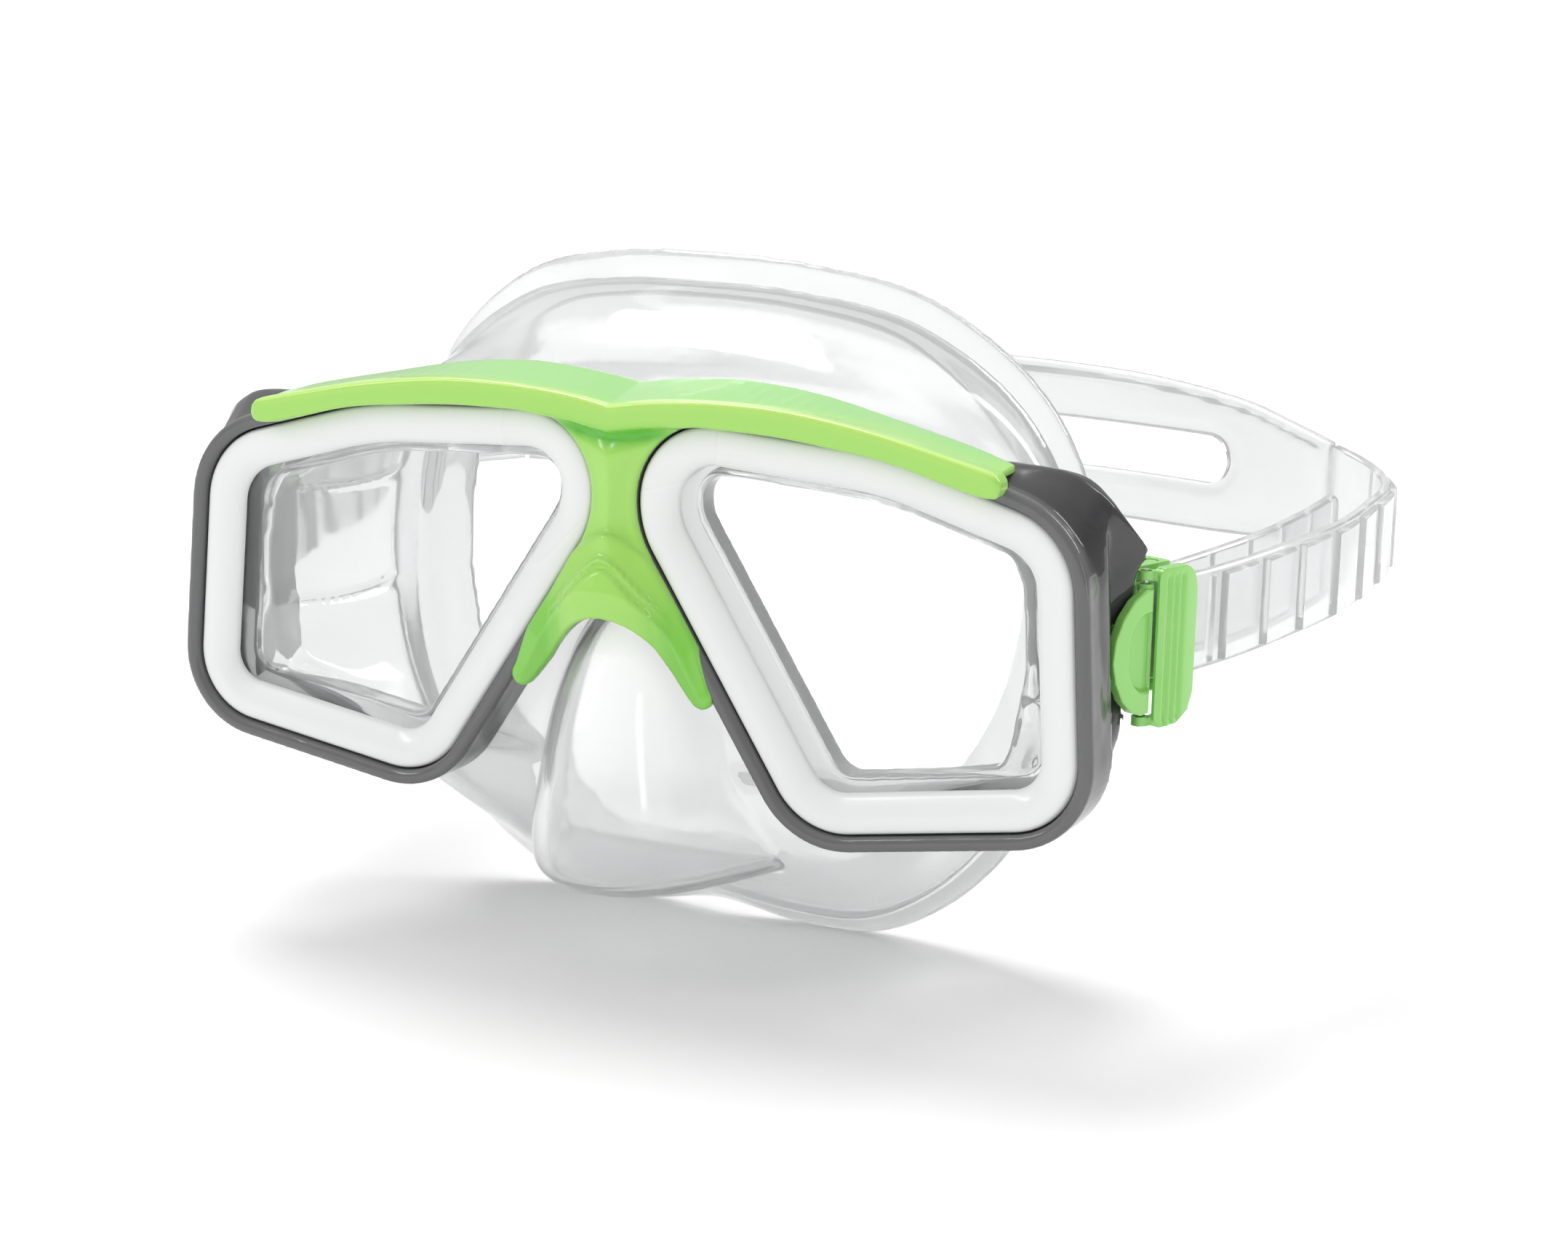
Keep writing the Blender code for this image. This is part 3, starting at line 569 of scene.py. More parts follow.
def ear_rows():
    """Outer surface of the left ear, as rows of points from the rim back to the ear's edge."""
    rim = [(60.0, 1.0, 25.4), (68.2, 1.0, 22.5), (71.3, 1.0, 20.2), (73.6, 1.0, 17.1),
           (75.4, 1.0, 12.4), (76.1, 1.0, 5.0), (76.4, 1.0, -0.5), (76.8, 1.0, -7.0),
           (77.2, 1.0, -14.0), (74.9, 1.0, -22.2), (69.8, 1.0, -26.5)]
    shoulder = [(59.0, 6.0, 27.6), (67.4, 7.2, 26.8), (71.4, 7.6, 25.2), (74.4, 7.8, 22.0),
                (76.2, 7.4, 13.4), (76.8, 7.4, 6.0), (77.0, 7.4, -0.5), (77.2, 7.4, -7.5),
                (77.3, 7.6, -15.5), (74.4, 7.6, -23.0), (69.2, 7.6, -26.6)]
    recess = [(59.4, 8.0, 27.6), (68.2, 9.2, 26.8), (72.4, 9.4, 25.2), (75.8, 9.6, 21.4),
              (75.0, 10.0, 13.6), (74.3, 8.9, 7.4), (74.3, 8.9, -0.5), (74.3, 8.9, -6.8),
              (76.3, 10.6, -13.6), (74.4, 9.6, -20.0), (70.6, 9.2, -24.8)]
    edge = [(60.2, 9.6, 27.4), (69.4, 11.0, 26.4), (73.4, 11.2, 24.4), (77.2, 12.2, 19.6),
            (79.3, 16.7, 14.3), (77.7, 15.2, 11.3), (76.8, 16.2, -0.5), (76.8, 16.2, -7.2),
            (76.6, 15.2, -11.8), (75.0, 12.2, -18.4), (71.4, 10.8, -23.6)]
    return [rim, shoulder, recess, edge]


EAR_INSIDE_X = 55.0


def ear_grid():
    """The ear's surface, interpolated smoothly both ways."""
    columns = [smooth_path(column, 5) for column in zip(*ear_rows())]
    return [smooth_path(row, 5) for row in zip(*columns)]


def ear_solid():
    """The ear's surface thickened inwards, more so towards its back edge."""
    grid = ear_grid()
    last_row, last = len(grid) - 1, len(grid[0]) - 1
    rings = []
    for i, row in enumerate(grid):
        depth = 0.9 + 1.0 * i / last_row
        inner = []
        for k, here in enumerate(row):
            along = grid[min(i + 1, last_row)][k] - grid[max(i - 1, 0)][k]
            across = row[min(k + 1, last)] - row[max(k - 1, 0)]
            normal = along.cross(across).normalized()
            if normal.dot(here - Vector((EAR_INSIDE_X, here.y, 0.0))) > 0:
                normal = -normal
            inner.append(here + normal * depth)
        rings.append([tuple(p) for p in row] + [tuple(p) for p in reversed(inner)])
    return loft(rings)


def upright_rod(centre, radius, low, high, sides=28):
    """A vertical rod round the (u, w) centre in the left buckle's frame."""
    u, w = centre
    turns = [2 * math.pi * k / sides for k in range(sides)]
    return loft([[tuple(buckle_point(u + radius * math.cos(t), w + radius * math.sin(t), z)) for t in turns]
                 for z in (low, high)])


def frame_half():
    """The left rim, its ear and the two lugs that hold the buckle's swivel."""
    lugs = [upright_rod((2.6, -6.4), 2.8, low, high) for low, high in ((-9.2, -6.6), (7.0, 9.6))]
    return merged([swept_ring(rim_section()), ear_solid(), *lugs])


def bridge_solid():
    """The frame's bar between the rims, under the trim."""
    outline = [(-4.6, 26.0), (4.6, 26.0), (2.3, 18.0), (3.8, 10.0), (7.4, 3.5),
               (-7.4, 3.5), (-3.8, 10.0), (-2.3, 18.0)]
    return loft([[(x, y, z) for x, z in outline] for y in (0.6, 7.9)])


def build_frame(mats):
    half = frame_half()
    both = merged([mirrored(half), half, bridge_solid()])
    obj = add_object("frame_moulding", fused(both, 0.36, 2), mats["smoke"])
    settle(obj, "mask", "smoke_frame", "frame", smooth=ALL_SMOOTH)


def flange_band():
    """The flange on the temple side of the left rim, tapering out along the top and the bottom."""
    sections = []
    top, bottom = 48.0, -110.0
    front, back = 6.3, 8.2
    for outer, inner in zip(lens_outline(0.2 - RIM_REACH), lens_outline(-FLANGE_WIDTH)):
        angle = math.degrees(math.atan2(outer[1] + 2.0, outer[0] - 45.0))
        if bottom < angle < top:
            reach = 0.1 + 0.9 * float(smoothstep(top, 30.0, angle) * smoothstep(bottom, -45.0, angle))
            x, z = (outer[i] + (inner[i] - outer[i]) * reach for i in (0, 1))
            sections.append((angle, [(outer[0], front, outer[1]), (x, front, z), (x, back, z),
                                     (outer[0], back, outer[1])]))
    return loft([section for _, section in sorted(sections, key=lambda pair: pair[0])])


def build_temple_walls(mats):
    """The thin smoke plastic behind each rim's outer side, which shows through the lens."""
    outline = [(8.0, 16.0), (14.5, 15.0), (16.6, 12.0), (16.6, -14.0), (14.5, -18.0), (8.0, -20.0)]
    outer_x, lean, thickness = 69.1, 0.05, 1.1

    def levels(points):
        return np.full(len(points), 0.0), np.full(len(points), thickness)

    def upright(y, z, level):
        return sign * (outer_x - level - lean * (y - outline[0][0])), y, z

    for side, sign in SIDES:
        wall = plate(outline, 0.9, 0.5, levels, upright)
        wall = add_object(f"temple_wall_{side}", wall, mats["thin_smoke"])
        settle(wall, "mask", "smoke_frame", smooth=60.0)
        band = flange_band() if sign > 0 else mirrored(flange_band())
        band = add_object(f"temple_flange_{side}", band, mats["thin_smoke"])
        settle(band, "mask", "smoke_frame", smooth=40.0)


def build_bezels(mats):
    for side, sign in SIDES:
        ring = swept_ring(bezel_section())
        bm = ring if sign > 0 else mirrored(ring)
        obj = add_object(f"bezel_{side}", bm, mats["white"])
        settle(obj, "mask", "white_bezel", f"lens_bezel_{side}", smooth=50.0)


def build_lenses(mats):
    for side, sign in SIDES:
        edge, face = lens_outline(-LENS_INSET), lens_outline(-LENS_INSET - LENS_CHAMFER)
        levels = ((face, LENS_FRONT_Y), (edge, LENS_FRONT_Y + LENS_CHAMFER),
                  (edge, LENS_BACK_Y - LENS_CHAMFER), (face, LENS_BACK_Y))
        rings = [[(sign * x, y, z) for x, z in loop] for loop, y in levels]
        obj = add_object(f"lens_plate_{side}", loft(rings), mats["glass"])
        settle(obj, "mask", "lens_glass", f"lens_{side}", smooth=20.0)


# ---------------------------------------------------------------- green trim

# The crease along the brow, as (x, z).
CREASE = [(0.0, 32.0), (7.5, 33.2), (18.0, 33.9), (30.0, 33.6), (43.0, 31.8), (55.0, 29.2), (61.0, 27.8)]


def crease_line():
    return [(p.x, p.y) for p in smooth_path(CREASE, 6)]


def trim_outline():
    """Front outline of the trim, from the top centre round to the nose arch and back."""
    crease = crease_line()
    end = [(62.2, 27.3), (62.9, 26.4), (63.0, 25.2), (62.7, 24.3), (62.2, 23.9)]
    ring = lens_outline(0.2)
    top = sorted([p for p in ring if p[1] > 13.0 and 12.0 < p[0] < 61.0], key=lambda p: -p[0])
    nose_side = sorted([p for p in ring if p[1] > -9.5 and (p[0] <= 12.0 or p[1] <= 13.0 and p[0] < 25.0)],
                       key=lambda p: -p[1])
    tip = [(16.6, -9.9), (17.2, -11.0), (17.2, -12.1), (16.5, -13.1), (15.4, -13.5), (14.2, -13.0)]
    arch = [(p.x, p.y) for p in smooth_path([(13.0, -11.7), (10.7, -8.7), (7.5, -4.2), (4.7, -1.8),
                                             (2.2, -0.7)], 4)]
    half = crease + end + top + nose_side + tip + arch
    return half + [(0.0, -0.4)] + [(-x, z) for x, z in reversed(half[1:])]


def chevron(x, apex, slope):
    """Height of a rounded chevron line over the nose."""
    return apex - slope * (np.sqrt(x ** 2 + 5.0) - math.sqrt(5.0))


def trim_levels(points):
    """Front and back of the trim: brow band, waisted bridge, and a stepped hood over the nose."""
    x, z = np.abs(points[:, 0]), points[:, 1]
    line = np.array(crease_line())
    below = np.interp(x, line[:, 0], line[:, 1]) - z
    inward = edge_distance(points, [np.array(trim_outline())])
    band = 1.0 - smoothstep(3.9, 4.7, below)
    waist = -1.0 - 1.5 * smoothstep(0.0, 5.0, inward)
    near_centre = (1.0 - smoothstep(5.0, 14.0, x)) * smoothstep(0.0, 3.0, inward)
    scoop = 0.9 * np.exp(-((below - 5.3) / 1.5) ** 2) * near_centre
    front = -3.5 * band + (waist + scoop) * (1.0 - band)
    hood = np.clip(1.0 - (x / 10.5) ** 2, 0.0, 1.0)
    front -= 1.2 * smoothstep(0.0, 0.6, chevron(x, 12.8, 0.8) - z) * hood
    front -= 1.0 * smoothstep(0.0, 0.5, chevron(x, 9.2, 1.1) - z) * hood
    front += 0.7 * smoothstep(0.2, 0.7, chevron(x, 8.7, 1.1) - z) * hood
    front -= 0.9 * smoothstep(0.0, 0.5, chevron(x, 7.4, 1.1) - z) * hood
    front -= 1.5 * smoothstep(8.0, 0.0, z) * np.clip(1.0 - (x / 8.0) ** 2, 0.0, 1.0)
    return front, np.maximum(front + 2.2, 0.6)


def shelf_solid():
    """The shelf that runs back from the crease over the top of the rims."""
    stations = [(0.0, 32.0, 34.1, 30.6), (7.5, 33.2, 35.2, 31.8), (18.0, 33.9, 35.9, 32.6),
                (30.0, 33.6, 34.9, 31.9), (43.0, 31.8, 32.3, 30.6), (55.0, 29.2, 29.7, 27.9),
                (62.0, 27.4, 27.7, 26.1)]
    tops = smooth_path([(x, crease, top) for x, crease, top, _ in stations], 5)
    unders = smooth_path([(x, under, 0.0) for x, _, _, under in stations], 5)
    half = [(a.x, a.y, a.z, b.y) for a, b in zip(tops, unders)]
    full = [(-x, *rest) for x, *rest in reversed(half[1:])] + half
    rings = []
    for x, crease, top, under in full:
        back = 8.4 - 3.0 * (abs(x) / 62.0) ** 2
        rings.append([(x, -3.0, crease - 1.4), (x, -3.3, crease - 0.35), (x, back, top),
                      (x, back, top - 1.3), (x, -1.4, under)])
    return loft(rings)


def trim_painted_light(points):
    """Painted light and shade on the green: a painted yellow-lime highlight along the crease, a painted
    cooler tone for the light on the top shelf, and painted shade in the hollow under the brow and low on the
    sides of the nose hood.
    """
    x, y, z = np.abs(points[:, 0]), points[:, 1], points[:, 2]
    line = np.array(crease_line())
    below = np.interp(x, line[:, 0], line[:, 1]) - z
    # lime is the green itself; edge, shelf and deep are painted light: a crease highlight, a cooler tone for
    # the light on the top shelf, and shade
    lime, edge = np.array([0.37, 0.71, 0.13]), np.array([0.5, 0.78, 0.17])
    shelf, deep = np.array([0.31, 0.64, 0.2]), np.array([0.1, 0.5, 0.035])
    # painted shade: in the hollow under the brow band near the centre, and low on the sides of the nose hood
    hollow_shade = np.exp(-((below - 5.2) / 1.3) ** 2) * (1.0 - smoothstep(5.0, 15.0, x))
    slope = smoothstep(4.5, 11.0, x) * smoothstep(10.0, -4.0, z) * 0.55
    # each painted colour is blended in by its mask: shelf tone, crease highlight, then shade
    for share, painted_light_tint in ((smoothstep(-3.0, -1.6, y) * smoothstep(0.3, -0.4, below), shelf),
                        (np.exp(-((below - 0.1) / 0.75) ** 2) * smoothstep(-1.5, -2.6, y), edge),
                        (np.maximum(hollow_shade, slope) * smoothstep(2.0, 4.0, below), deep)):
        lime = lime + (painted_light_tint - lime) * share[:, None]
    return lime


def paint(obj, painted_light_colours, points):
    """Store a colour for each vertex, which the material reads."""
    layer = obj.data.attributes.new("painted_light_tint", "FLOAT_COLOR", "POINT")
    values = np.concatenate([painted_light_colours(points), np.ones((len(points), 1))], axis=1)
    layer.data.foreach_set("color", values.astype(np.float32).ravel())


def build_trim(mats):
    front = plate(trim_outline(), 0.5, 0.6, trim_levels, lambda a, b, level: (a, level, b))
    solid = fused(merged([front, shelf_solid()]), 0.26, 2)
    points = np.array([tuple(v.co) for v in solid.verts])
    obj = add_object("trim_moulding", solid, mats["trim"])
    # the vertex colours are painted light and shade: crease highlight, shelf tone and shade in the hollows
    paint(obj, trim_painted_light, points)
    settle(obj, "mask", "green_trim", "brow_bridge_trim", smooth=ALL_SMOOTH)


# ---------------------------------------------------------------- skirt

# Half outlines of the skirt, from the top centre round the wearer's left to the bottom centre:
# at the frame, halfway back, at the waist, along the sealing edge, and at the end of the turned-in lip.
SKIRT_FRONT = [(0, 8.6, 24.5), (20, 8.6, 27.0), (44, 8.6, 25.0), (61, 8.6, 19.5), (67.4, 8.6, 8.0),
               (67.4, 8.6, -10.0), (63.0, 8.6, -20.5), (46, 8.6, -25.0), (30, 8.6, -27.0),
               (14, 8.6, -28.0), (0, 8.6, -28.0)]
SKIRT_MIDDLE = [(0, 17, 36.5), (19, 17.6, 36.5), (40, 19, 32.0), (55, 20, 23.5), (62.5, 20.5, 10.0),
                (63.4, 20.5, -8.0), (58.5, 20, -23.0), (45, 19, -35.0), (29, 19, -41.0),
                (13, 18, -42.0), (0, 17, -41.5)]
SKIRT_WAIST = [(0, 26, 43.5), (18, 27, 42.8), (37, 30, 37.5), (51, 33, 27.5), (59.0, 34, 12.0),
               (60.4, 34, -6.0), (56.0, 33, -24.0), (45, 31, -40.0), (30, 31, -50.0),
               (14, 30, -51.0), (0, 29, -49.5)]
SKIRT_SEAL = [(0, 32, 51.8), (18, 33.6, 50.8), (36, 38, 46.0), (52, 43, 33.0), (60.6, 45.5, 15.0),
              (62.0, 45.5, -5.0), (58.0, 43.5, -26.0), (47, 42, -45.5), (31, 42.5, -57.5),
              (15, 42, -59.0), (0, 40.5, -56.5)]
SKIRT_LIP = [(0, 35.5, 44.5), (16, 36.5, 43.5), (31, 40, 39.5), (43, 43.5, 28.0), (50.5, 45, 12.5),
             (51.5, 45, -5.0), (47.5, 44, -21.5), (38, 44, -36.0), (26, 45.5, -47.5),
             (12, 45, -49.5), (0, 43.5, -48.0)]


def mirrored_ring(half, steps=8):
    """A closed ring from its half that runs from the top centre to the bottom centre."""
    ring = [tuple(p) for p in half] + [(-x, y, z) for x, y, z in reversed(half[1:-1])]
    return closed_smooth(ring, steps)


def between(rings, steps):
    """More rings between the given ones, smooth from ring to ring."""
    columns = [smooth_path(column, steps) for column in zip(*rings)]
    return [[tuple(p) for p in ring] for ring in zip(*columns)]


def inset_ring(half, wall, back):
    """A half outline moved inwards by the wall and back by the given distance."""
    out = []
    last = len(half) - 1
    for i, (x, y, z) in enumerate(half):
        ahead, behind = half[min(i + 1, last)], half[max(i - 1, 0)]
        tangent = Vector((ahead[0] - behind[0], ahead[2] - behind[2])).normalized()
        inward = Vector((tangent.y, -tangent.x))
        if i in (0, last):
            inward.x = 0.0
        out.append((x + inward.x * wall, y + back, z + inward.y * wall))
    return out


def outer_skin():
    """The skirt's outside, from the frame back to the sealing edge and in along the lip."""
    halves = (SKIRT_FRONT, SKIRT_MIDDLE, SKIRT_WAIST, SKIRT_SEAL, SKIRT_LIP)
    rings = between([mirrored_ring(half) for half in halves], 6)
    rings.append([tuple(p) for p in mirrored_ring(inset_ring(SKIRT_LIP, 3.0, 0.0))])
    return loft(rings, triangulate=True)


def cavity_skin():
    """The space for the face, which is cut from the outer skin."""
    front = inset_ring(SKIRT_FRONT, 3.3, 2.6)
    lip = inset_ring(SKIRT_LIP, 1.7, -1.6)
    mouth = [(x, y + 9.0, z) for x, y, z in lip]
    halves = (front, inset_ring(SKIRT_MIDDLE, 2.7, 0.6), inset_ring(SKIRT_WAIST, SKIRT_WALL, 0.3),
              inset_ring(SKIRT_SEAL, 4.4, -2.2), lip, mouth)
    return loft(between([mirrored_ring(half) for half in halves], 6), triangulate=True)


def nose_outline(z, front, half_width, back=30.0, steps=16):
    """A horizontal slice of the nose pocket, blunt at the front."""
    curve = []
    for k in range(steps + 1):
        share = (k / steps) ** 2
        curve.append((half_width * share ** 0.42, front + (back - front) * share))
    return [(x, y, z) for x, y in curve] + [(-x, y, z) for x, y in reversed(curve[1:])]


def nose_skin(wall):
    """The nose pocket's outside, or its inside where a wall is given. Slices: z, front, half width."""
    slices = [(1.5, 4.0, 9.0), (-3.0, 0.6, 13.5), (-8.0, -4.2, 16.5), (-16.0, -8.4, 19.5),
              (-26.0, -10.4, 22.0), (-35.0, -11.0, 24.0), (-40.5, -9.6, 24.5), (-43.6, -5.6, 23.0)]
    rings = [nose_outline(z, front + wall, half - wall * 1.25) for z, front, half in slices]
    if wall:
        rings[-1] = [(x, y, z + wall) for x, y, z in rings[-1]]
        rings[0] = [(x, y, z - wall) for x, y, z in rings[0]]
    return loft(between(rings, 4), triangulate=True)


def flat_prism(outline, low, high, sign):
    """An (x, z) outline carried from one y to another."""
    return loft([[(sign * x, y, z) for x, z in outline] for y in (low, high)], triangulate=True)


RIB_LEVELS = (10.5, -8.5)
COLLAR_GAP = 0.35
COLLAR_WALL = 1.05


def ribbed_walls(bm):
    """Two stiffening ribs that run back along each side wall of the skirt."""
    for vertex in bm.verts:
        x, y, z = vertex.co
        run = float(smoothstep(50.0, 54.0, abs(x)) * smoothstep(11.0, 14.0, y) * smoothstep(36.0, 31.0, y))
        if run:
            rise = 0.06 * (y - 22.0) ** 2 / 10.0
            ribs = sum(math.exp(-((z - level - rise) / 0.8) ** 2) for level in RIB_LEVELS)
            vertex.co.x += math.copysign(1.0, x) * ribs * run


def port_limit(z):
    """How far out the lens port may reach, less at its corners, where the outer wall curves in."""
    return PORT_REACH - 0.45 * max(0.0, abs(z + 1.0) - 9.0)


def build_skirt(mats):
    skirt = boolean(outer_skin(), nose_skin(0.0), "UNION")
    collar = lens_outline(-FLANGE_WIDTH - COLLAR_GAP, 8, 2)
    port = [(min(x, port_limit(z)), z)
            for x, z in lens_outline(-FLANGE_WIDTH - COLLAR_GAP - COLLAR_WALL, 8, 2)]
    for _, sign in SIDES:
        skirt = boolean(skirt, flat_prism(collar, 5.7, 9.7, sign), "UNION")
    skirt = boolean(skirt, cavity_skin(), "DIFFERENCE")
    skirt = boolean(skirt, nose_skin(NOSE_WALL), "DIFFERENCE")
    for _, sign in SIDES:
        skirt = boolean(skirt, flat_prism(port, 4.0, 12.6, sign), "DIFFERENCE")
    moulding = fused(skirt, 0.6, 14)
    ribbed_walls(moulding)
    obj = add_object("skirt_moulding", moulding, mats["clear"])
    settle(obj, "mask", "clear_silicone", "face_skirt", smooth=ALL_SMOOTH)


# ---------------------------------------------------------------- strap

RIB_PITCH = 10.8
TIP_LENGTH = 3.0
TIP_ROUND = 1.8


def strap_centre_line():
    """Tail end, forward to the roller, round it, and back along the outer layer to the band."""
    u0, w0 = ROLLER_AXIS
    tail = [(86.8, 88.0, 5.6), (86.6, 80.0, 5.2), (85.6, 70.0, 4.6), (83.6, 58.0, 3.8), (80.4, 45.5, 3.1)]
    tail = smooth_path(tail + [buckle_point(LOOP_END_U + 1.2, w0 - LOOP_R, STRAP_Z),
                               buckle_point(LOOP_END_U - 3.0, w0 - LOOP_R, STRAP_Z)], 12)
    turns = [math.pi * (1.5 - k / 16) for k in range(17)]
    fold = [buckle_point(u0 + LOOP_R * math.cos(t), w0 + LOOP_R * math.sin(t), STRAP_Z) for t in turns]
    outer = [buckle_point(LOOP_END_U - 3.0, w0 + LOOP_R, STRAP_Z),
             buckle_point(LOOP_END_U + 1.2, w0 + LOOP_R, STRAP_Z), (86.6, 43.5, 2.9), (90.0, 57.0, 3.6),
             (92.4, 68.0, 4.2), (93.2, 77.0, 4.7), (93.2, 86.0, 5.2), (93.1, 96.0, 5.8), (90.4, 104.0, 6.4),
             (85.4, 110.2, 7.0), (79.5, 115.0, 7.8)]
    return tail + fold + smooth_path(outer, 12)


def even(points, spacing):
    """The same line with points an even spacing apart, and the length to each."""
    pts = np.array([tuple(p) for p in points])
    lengths = np.concatenate([[0.0], np.cumsum(np.linalg.norm(np.diff(pts, axis=0), axis=1))])
    at = np.linspace(0.0, lengths[-1], int(lengths[-1] / spacing) + 1)
    return np.stack([np.interp(at, lengths, pts[:, i]) for i in range(3)], axis=1), at


def strap_width(y):
    """Half height of the strap, which widens at the corner where it joins the band."""
    return 7.5 + 1.0 * smoothstep(100.0, 115.0, y)


def rib_height(distance):
    """Height of the ribs at a distance along the strap: a groove, a step up and a long ramp."""
    phase = (distance / RIB_PITCH) % 1.0
    return 1.25 * smoothstep(0.13, 0.16, phase) * (1.0 - 0.45 * phase) * smoothstep(1.0, 0.985, phase)


def build_strap_side(side, sign, mats):
    """One side's strap, with its fold round the roller."""
    line, at = even(strap_centre_line(), 0.45)
    tangents = np.gradient(line[:, :2], axis=0)
    tangents /= np.linalg.norm(tangents, axis=1)[:, None]
    fold_at = at[np.argmin(line[:, 1])]
    rings = []
    for i, point in enumerate(line):
        half = float(strap_width(point[1]))
        if at[i] < TIP_LENGTH:
            half -= TIP_ROUND * (1.0 - math.sqrt(max(0.0, 1.0 - (1.0 - at[i] / TIP_LENGTH) ** 2)))
        away = abs(at[i] - fold_at)
        rib = float(rib_height(away - 4.0)) * float(smoothstep(13.0, 14.0, away))
        across = Vector((tangents[i][1], -tangents[i][0], 0.0))
        face, out, e = STRAP_HALF, STRAP_HALF + rib, 0.3
        section = [(half - e, -face), (half, -face + e), (half, face - e), (half - e, face),
                   (half - 0.7, face), (half - 0.85, max(out - 0.25, face)), (half - 1.1, out), (0.0, out)]
        section += [(-z, t) for z, t in reversed(section[:-1])]
        base = Vector(point)
        ring = [base + across * t + Vector((0.0, 0.0, z)) for z, t in section]
        rings.append([(sign * p.x, p.y, p.z) for p in ring])
    obj = add_object(f"strap_{side}", loft(rings), mats["strap"])
    shade(obj, 40.0)
    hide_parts(f"strap_loop_{side}", f"strap_side_{side}", f"strap_tail_{side}")
    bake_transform(obj)


# The back band's centre line, from its middle to the wearer's left: x, y, z and height.
BAND_PATH = [(0.0, 131.5, 11.0, 27.0), (22.0, 130.4, 10.9, 27.0), (42.0, 127.2, 10.5, 26.4),
             (60.0, 122.4, 9.6, 24.0), (71.0, 118.7, 8.7, 20.0), (78.6, 115.4, 7.9, 17.4)]


def band_line():
    """The band's whole centre line, and its height at each point."""
    half = smooth_path([(x, y, z) for x, y, z, _ in BAND_PATH], 8)
    widths = [p.x for p in smooth_path([(w, 0.0, 0.0) for *_, w in BAND_PATH], 8)]
    full = [(-p.x, p.y, p.z) for p in reversed(half[1:])] + [tuple(p) for p in half]
    return np.array(full), np.array(widths[:0:-1] + widths)


def build_band(mats):
    line, widths = band_line()
    lengths = np.concatenate([[0.0], np.cumsum(np.linalg.norm(np.diff(line[:, :2], axis=0), axis=1))])
    lengths -= lengths[-1] / 2
    normals = np.gradient(line[:, :2], axis=0)
    normals /= np.linalg.norm(normals, axis=1)[:, None]
    top = [(s, z + w / 2) for s, (_, _, z), w in zip(lengths, line, widths)]
    bottom = [(s, z - w / 2) for s, (_, _, z), w in zip(lengths, line, widths)]
    slot_half, slot_r, slot_z = 59.0, 4.3, 10.2
    turns = [math.pi * (0.5 - k / 20) for k in range(21)]
    slot = [(slot_half - slot_r + slot_r * math.cos(t), slot_z + slot_r * math.sin(t)) for t in turns]
    slot += [(-s, z) for s, z in reversed(slot)]

    def levels(points):
        rim = smoothstep(2.2, 1.2, edge_distance(points, [np.array(top + bottom[::-1]), np.array(slot)]))
        return -STRAP_HALF - 0.35 * rim, STRAP_HALF + 0.35 * rim

    def bend(s, z, level):
        x, y = np.interp(s, lengths, line[:, 0]), np.interp(s, lengths, line[:, 1])
        tx, ty = np.interp(s, lengths, normals[:, 0]), np.interp(s, lengths, normals[:, 1])
        return (x - ty * level, y + tx * level, z)

    bm = plate(top + bottom[::-1], 1.1, 0.5, levels, bend, holes=[slot])
    obj = add_object("strap_band", bm, mats["strap"])
    settle(obj, "mask", "clear_silicone", "strap_back_band", smooth=50.0)


# ---------------------------------------------------------------- buckles

def node_copy(node):
    """The solid of a frame node, back in design millimetres."""
    bm = bmesh.new()
    bm.from_mesh(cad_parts[node].data)
    bmesh.ops.transform(bm, matrix=TO_ROW.inverted(), verts=bm.verts)
    bmesh.ops.remove_doubles(bm, verts=bm.verts, dist=0.001)
    return bm


def in_buckle(point, sign):
    """(u, w, z) of a design point in the buckle on the given side."""
    x, y = sign * point.x - BUCKLE_ORIGIN[0], point.y - BUCKLE_ORIGIN[1]
    w = x * math.cos(BUCKLE_SPLAY) - y * math.sin(BUCKLE_SPLAY)
    u = x * math.sin(BUCKLE_SPLAY) + y * math.cos(BUCKLE_SPLAY)
    return u, w, point.z


def push(vertex, sign, depth):
    """Move a point inwards along the buckle's w axis."""
    vertex.co.x -= sign * depth * math.cos(BUCKLE_SPLAY)
    vertex.co.y += depth * math.sin(BUCKLE_SPLAY)


def shrink(bm, depth):
    """Draw a skin in along its normals, which leaves clearance round a piece that moves."""
    bm.normal_update()
    moves = [vertex.normal * depth for vertex in bm.verts]
    for vertex, move in zip(bm.verts, moves):
        vertex.co -= move


def dish_half_moon(bm, sign):
    """The oval recess in the half-moon's outer face."""
    for vertex in bm.verts:
        u, w, z = in_buckle(vertex.co, sign)
        if w > -0.5:
            oval = math.hypot((u - 7.6) / 4.4, (z + 0.2) / 6.2)
            push(vertex, sign, 0.8 * float(smoothstep(1.0, 0.88, oval)))


def groove_lever(bm, sign):
    """The three grooves that run down the lever."""
    for vertex in bm.verts:
        u, w, z = in_buckle(vertex.co, sign)
        if w > -0.3:
            crown = 0.5 * ((u - 13.7) / 4.7) ** 2
            groove = sum(math.exp(-((u - line) / 0.42) ** 2) for line in (11.3, 12.8, 14.3))
            ends = float(smoothstep(11.6, 10.2, z) * smoothstep(-11.8, -10.4, z))
            push(vertex, sign, crown + 0.4 * groove * ends)


BUCKLE_PIECES = (("buckle_base", "buckle", 0.0, dish_half_moon),
                 ("buckle_lever", "lever", 0.16, groove_lever))


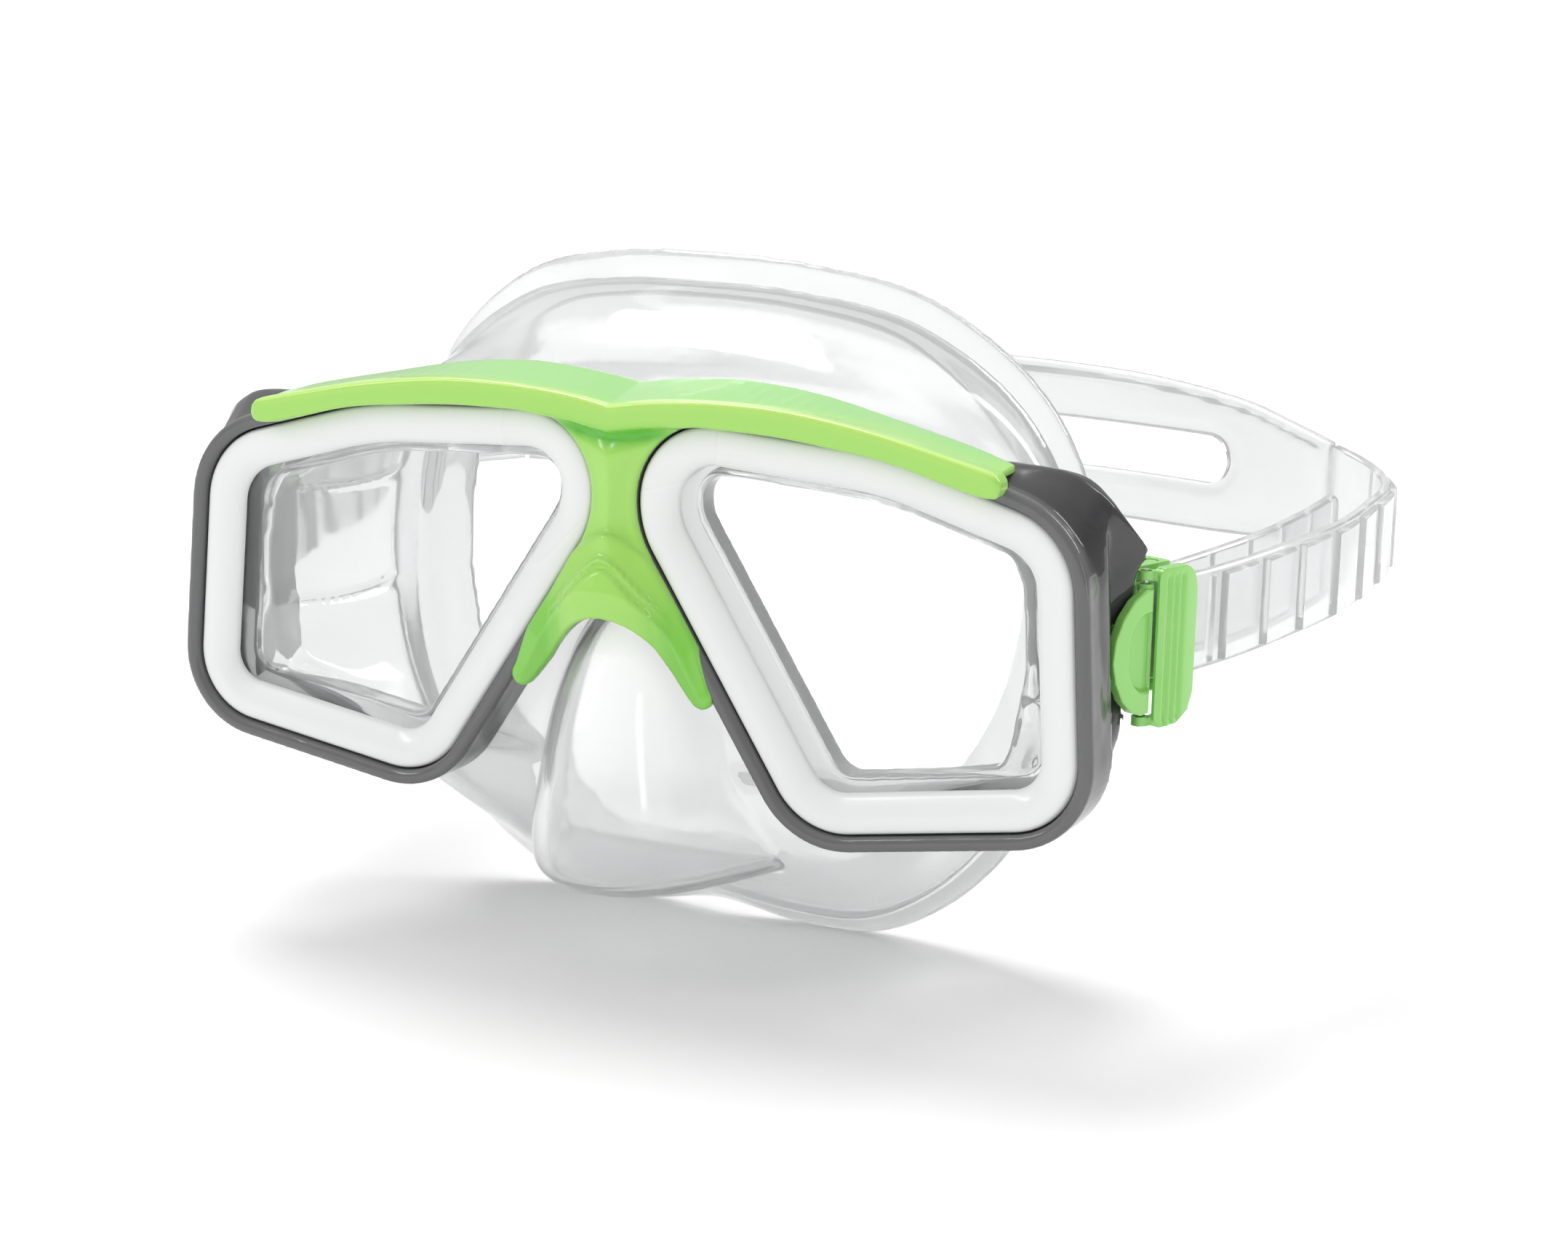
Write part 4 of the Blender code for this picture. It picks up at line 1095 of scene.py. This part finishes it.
def build_buckles(mats):
    for side, sign in SIDES:
        for stem, body, clearance, shape in BUCKLE_PIECES:
            bm = fused(node_copy(f"{stem}_{side}"), 0.17, 4)
            shrink(bm, clearance)
            shape(bm, sign)
            obj = add_object(f"{stem}_moulding_{side}", bm, mats["buckle"])
            settle(obj, f"{body}_{side}", "green_buckle", f"{stem}_{side}", smooth=ALL_SMOOTH)
        for stem, key in (("strap_roller", "buckle"), ("lever_pin", "steel")):
            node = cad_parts[f"{stem}_{side}"]
            node.data.materials.clear()
            node.data.materials.append(mats[key])


# ---------------------------------------------------------------- camera, floor, light

def add_camera():
    """A camera at the front, to the wearer's left and above, placed across, up and back in millimetres."""
    azimuth, elevation, roll = math.radians(24.638), math.radians(12.837), math.radians(1.421)
    right = Vector((math.cos(azimuth), math.sin(azimuth), 0.0))
    back = Vector((math.sin(azimuth) * math.cos(elevation), -math.cos(azimuth) * math.cos(elevation),
                   math.sin(elevation)))
    up = back.cross(right)
    eye = right * 25.951 + up * -1.864 + back * 496.43 + Vector((0.0, SHIFT_Y, SHIFT_Z))
    x_axis = right * math.cos(roll) + up * math.sin(roll)
    y_axis = up * math.cos(roll) - right * math.sin(roll)
    camera = bpy.data.objects.new("camera", bpy.data.cameras.new("camera"))
    camera.matrix_world = Matrix.Translation(eye * MM) @ Matrix((x_axis, y_axis, back)).transposed().to_4x4()
    camera.data.lens = 75.14
    camera.data.sensor_width = 36.0
    camera.data.sensor_fit = "HORIZONTAL"
    camera.data.clip_start = 0.01
    camera.data.clip_end = 50.0
    bpy.context.scene.collection.objects.link(camera)
    bpy.context.scene.camera = camera


def add_floor():
    bm = bmesh.new()
    bmesh.ops.create_circle(bm, cap_ends=True, segments=64, radius=12.0)
    mesh = bpy.data.meshes.new("floor")
    bm.to_mesh(mesh)
    bm.free()
    floor = bpy.data.objects.new("floor", mesh)
    bpy.context.scene.collection.objects.link(floor)
    mat, _ = principled("floor_white", Base_Color=(0.92, 0.92, 0.92), Roughness=0.7)
    mesh.materials.append(mat)


def add_strip(name, place_m, aim_m, width, energy, height=0.5):
    """An upright area light, placed and aimed in metres."""
    light = bpy.data.lights.new(name, "AREA")
    light.energy = energy
    light.size = width
    light.shape = "RECTANGLE"
    light.size_y = height
    obj = bpy.data.objects.new(name, light)
    bpy.context.scene.collection.objects.link(obj)
    direction = Vector(aim_m) - Vector(place_m)
    obj.location = place_m
    obj.rotation_euler = direction.to_track_quat("-Z", "Y").to_euler()


def add_world():
    """A plain white surround to the camera; the light it sheds fades towards one side and below."""
    world = bpy.data.worlds.new("studio")
    bpy.context.scene.world = world
    world.use_nodes = True
    nodes, links = world.node_tree.nodes, world.node_tree.links
    background = nodes["Background"]
    coords = nodes.new("ShaderNodeTexCoord")
    split = nodes.new("ShaderNodeSeparateXYZ")
    fade = nodes.new("ShaderNodeMapRange")
    fade.inputs["To Min"].default_value = 0.3
    fade.inputs["To Max"].default_value = 1.05
    slant = nodes.new("ShaderNodeMath")
    slant.operation = "MULTIPLY_ADD"
    slant.inputs[1].default_value = -0.4
    links.new(coords.outputs["Generated"], split.inputs["Vector"])
    links.new(split.outputs["X"], slant.inputs[0])
    links.new(split.outputs["Z"], slant.inputs[2])
    links.new(slant.outputs["Value"], fade.inputs["Value"])
    path = nodes.new("ShaderNodeLightPath")
    plain = nodes.new("ShaderNodeMix")
    plain.inputs["B"].default_value = 1.0
    links.new(path.outputs["Is Camera Ray"], plain.inputs["Factor"])
    links.new(fade.outputs["Result"], plain.inputs["A"])
    links.new(plain.outputs["Result"], background.inputs["Strength"])
    background.inputs["Color"].default_value = (1.0, 1.0, 1.0, 1.0)


def add_sun(name, direction, angle, strength):
    light = bpy.data.lights.new(name, "SUN")
    light.energy = strength
    light.angle = math.radians(angle)
    obj = bpy.data.objects.new(name, light)
    bpy.context.scene.collection.objects.link(obj)
    obj.rotation_euler = Vector(direction).to_track_quat("-Z", "Y").to_euler()


def add_stage():
    add_floor()
    add_world()
    add_sun("key", (0.4, -0.3, -1.0), 26.0, 1.3)
    add_strip("strip", (-0.5, -0.6, 0.5), (0.0, 0.0, 0.06), 0.12, 1.2)
    add_strip("right_strip", (0.75, -0.3, 0.2), (0.07, -0.06, 0.06), 0.08, 0.7)
    add_strip("back_strip", (0.45, 0.5, 0.55), (0.0, 0.0, 0.06), 0.15, 1.5)
    bpy.context.scene.view_settings.view_transform = "Standard"


add_camera()
add_stage()
MATS = make_materials()
build_frame(MATS)
build_temple_walls(MATS)
build_bezels(MATS)
build_lenses(MATS)
build_trim(MATS)
build_skirt(MATS)
for side_name, side_sign in SIDES:
    build_strap_side(side_name, side_sign, MATS)
build_band(MATS)
build_buckles(MATS)
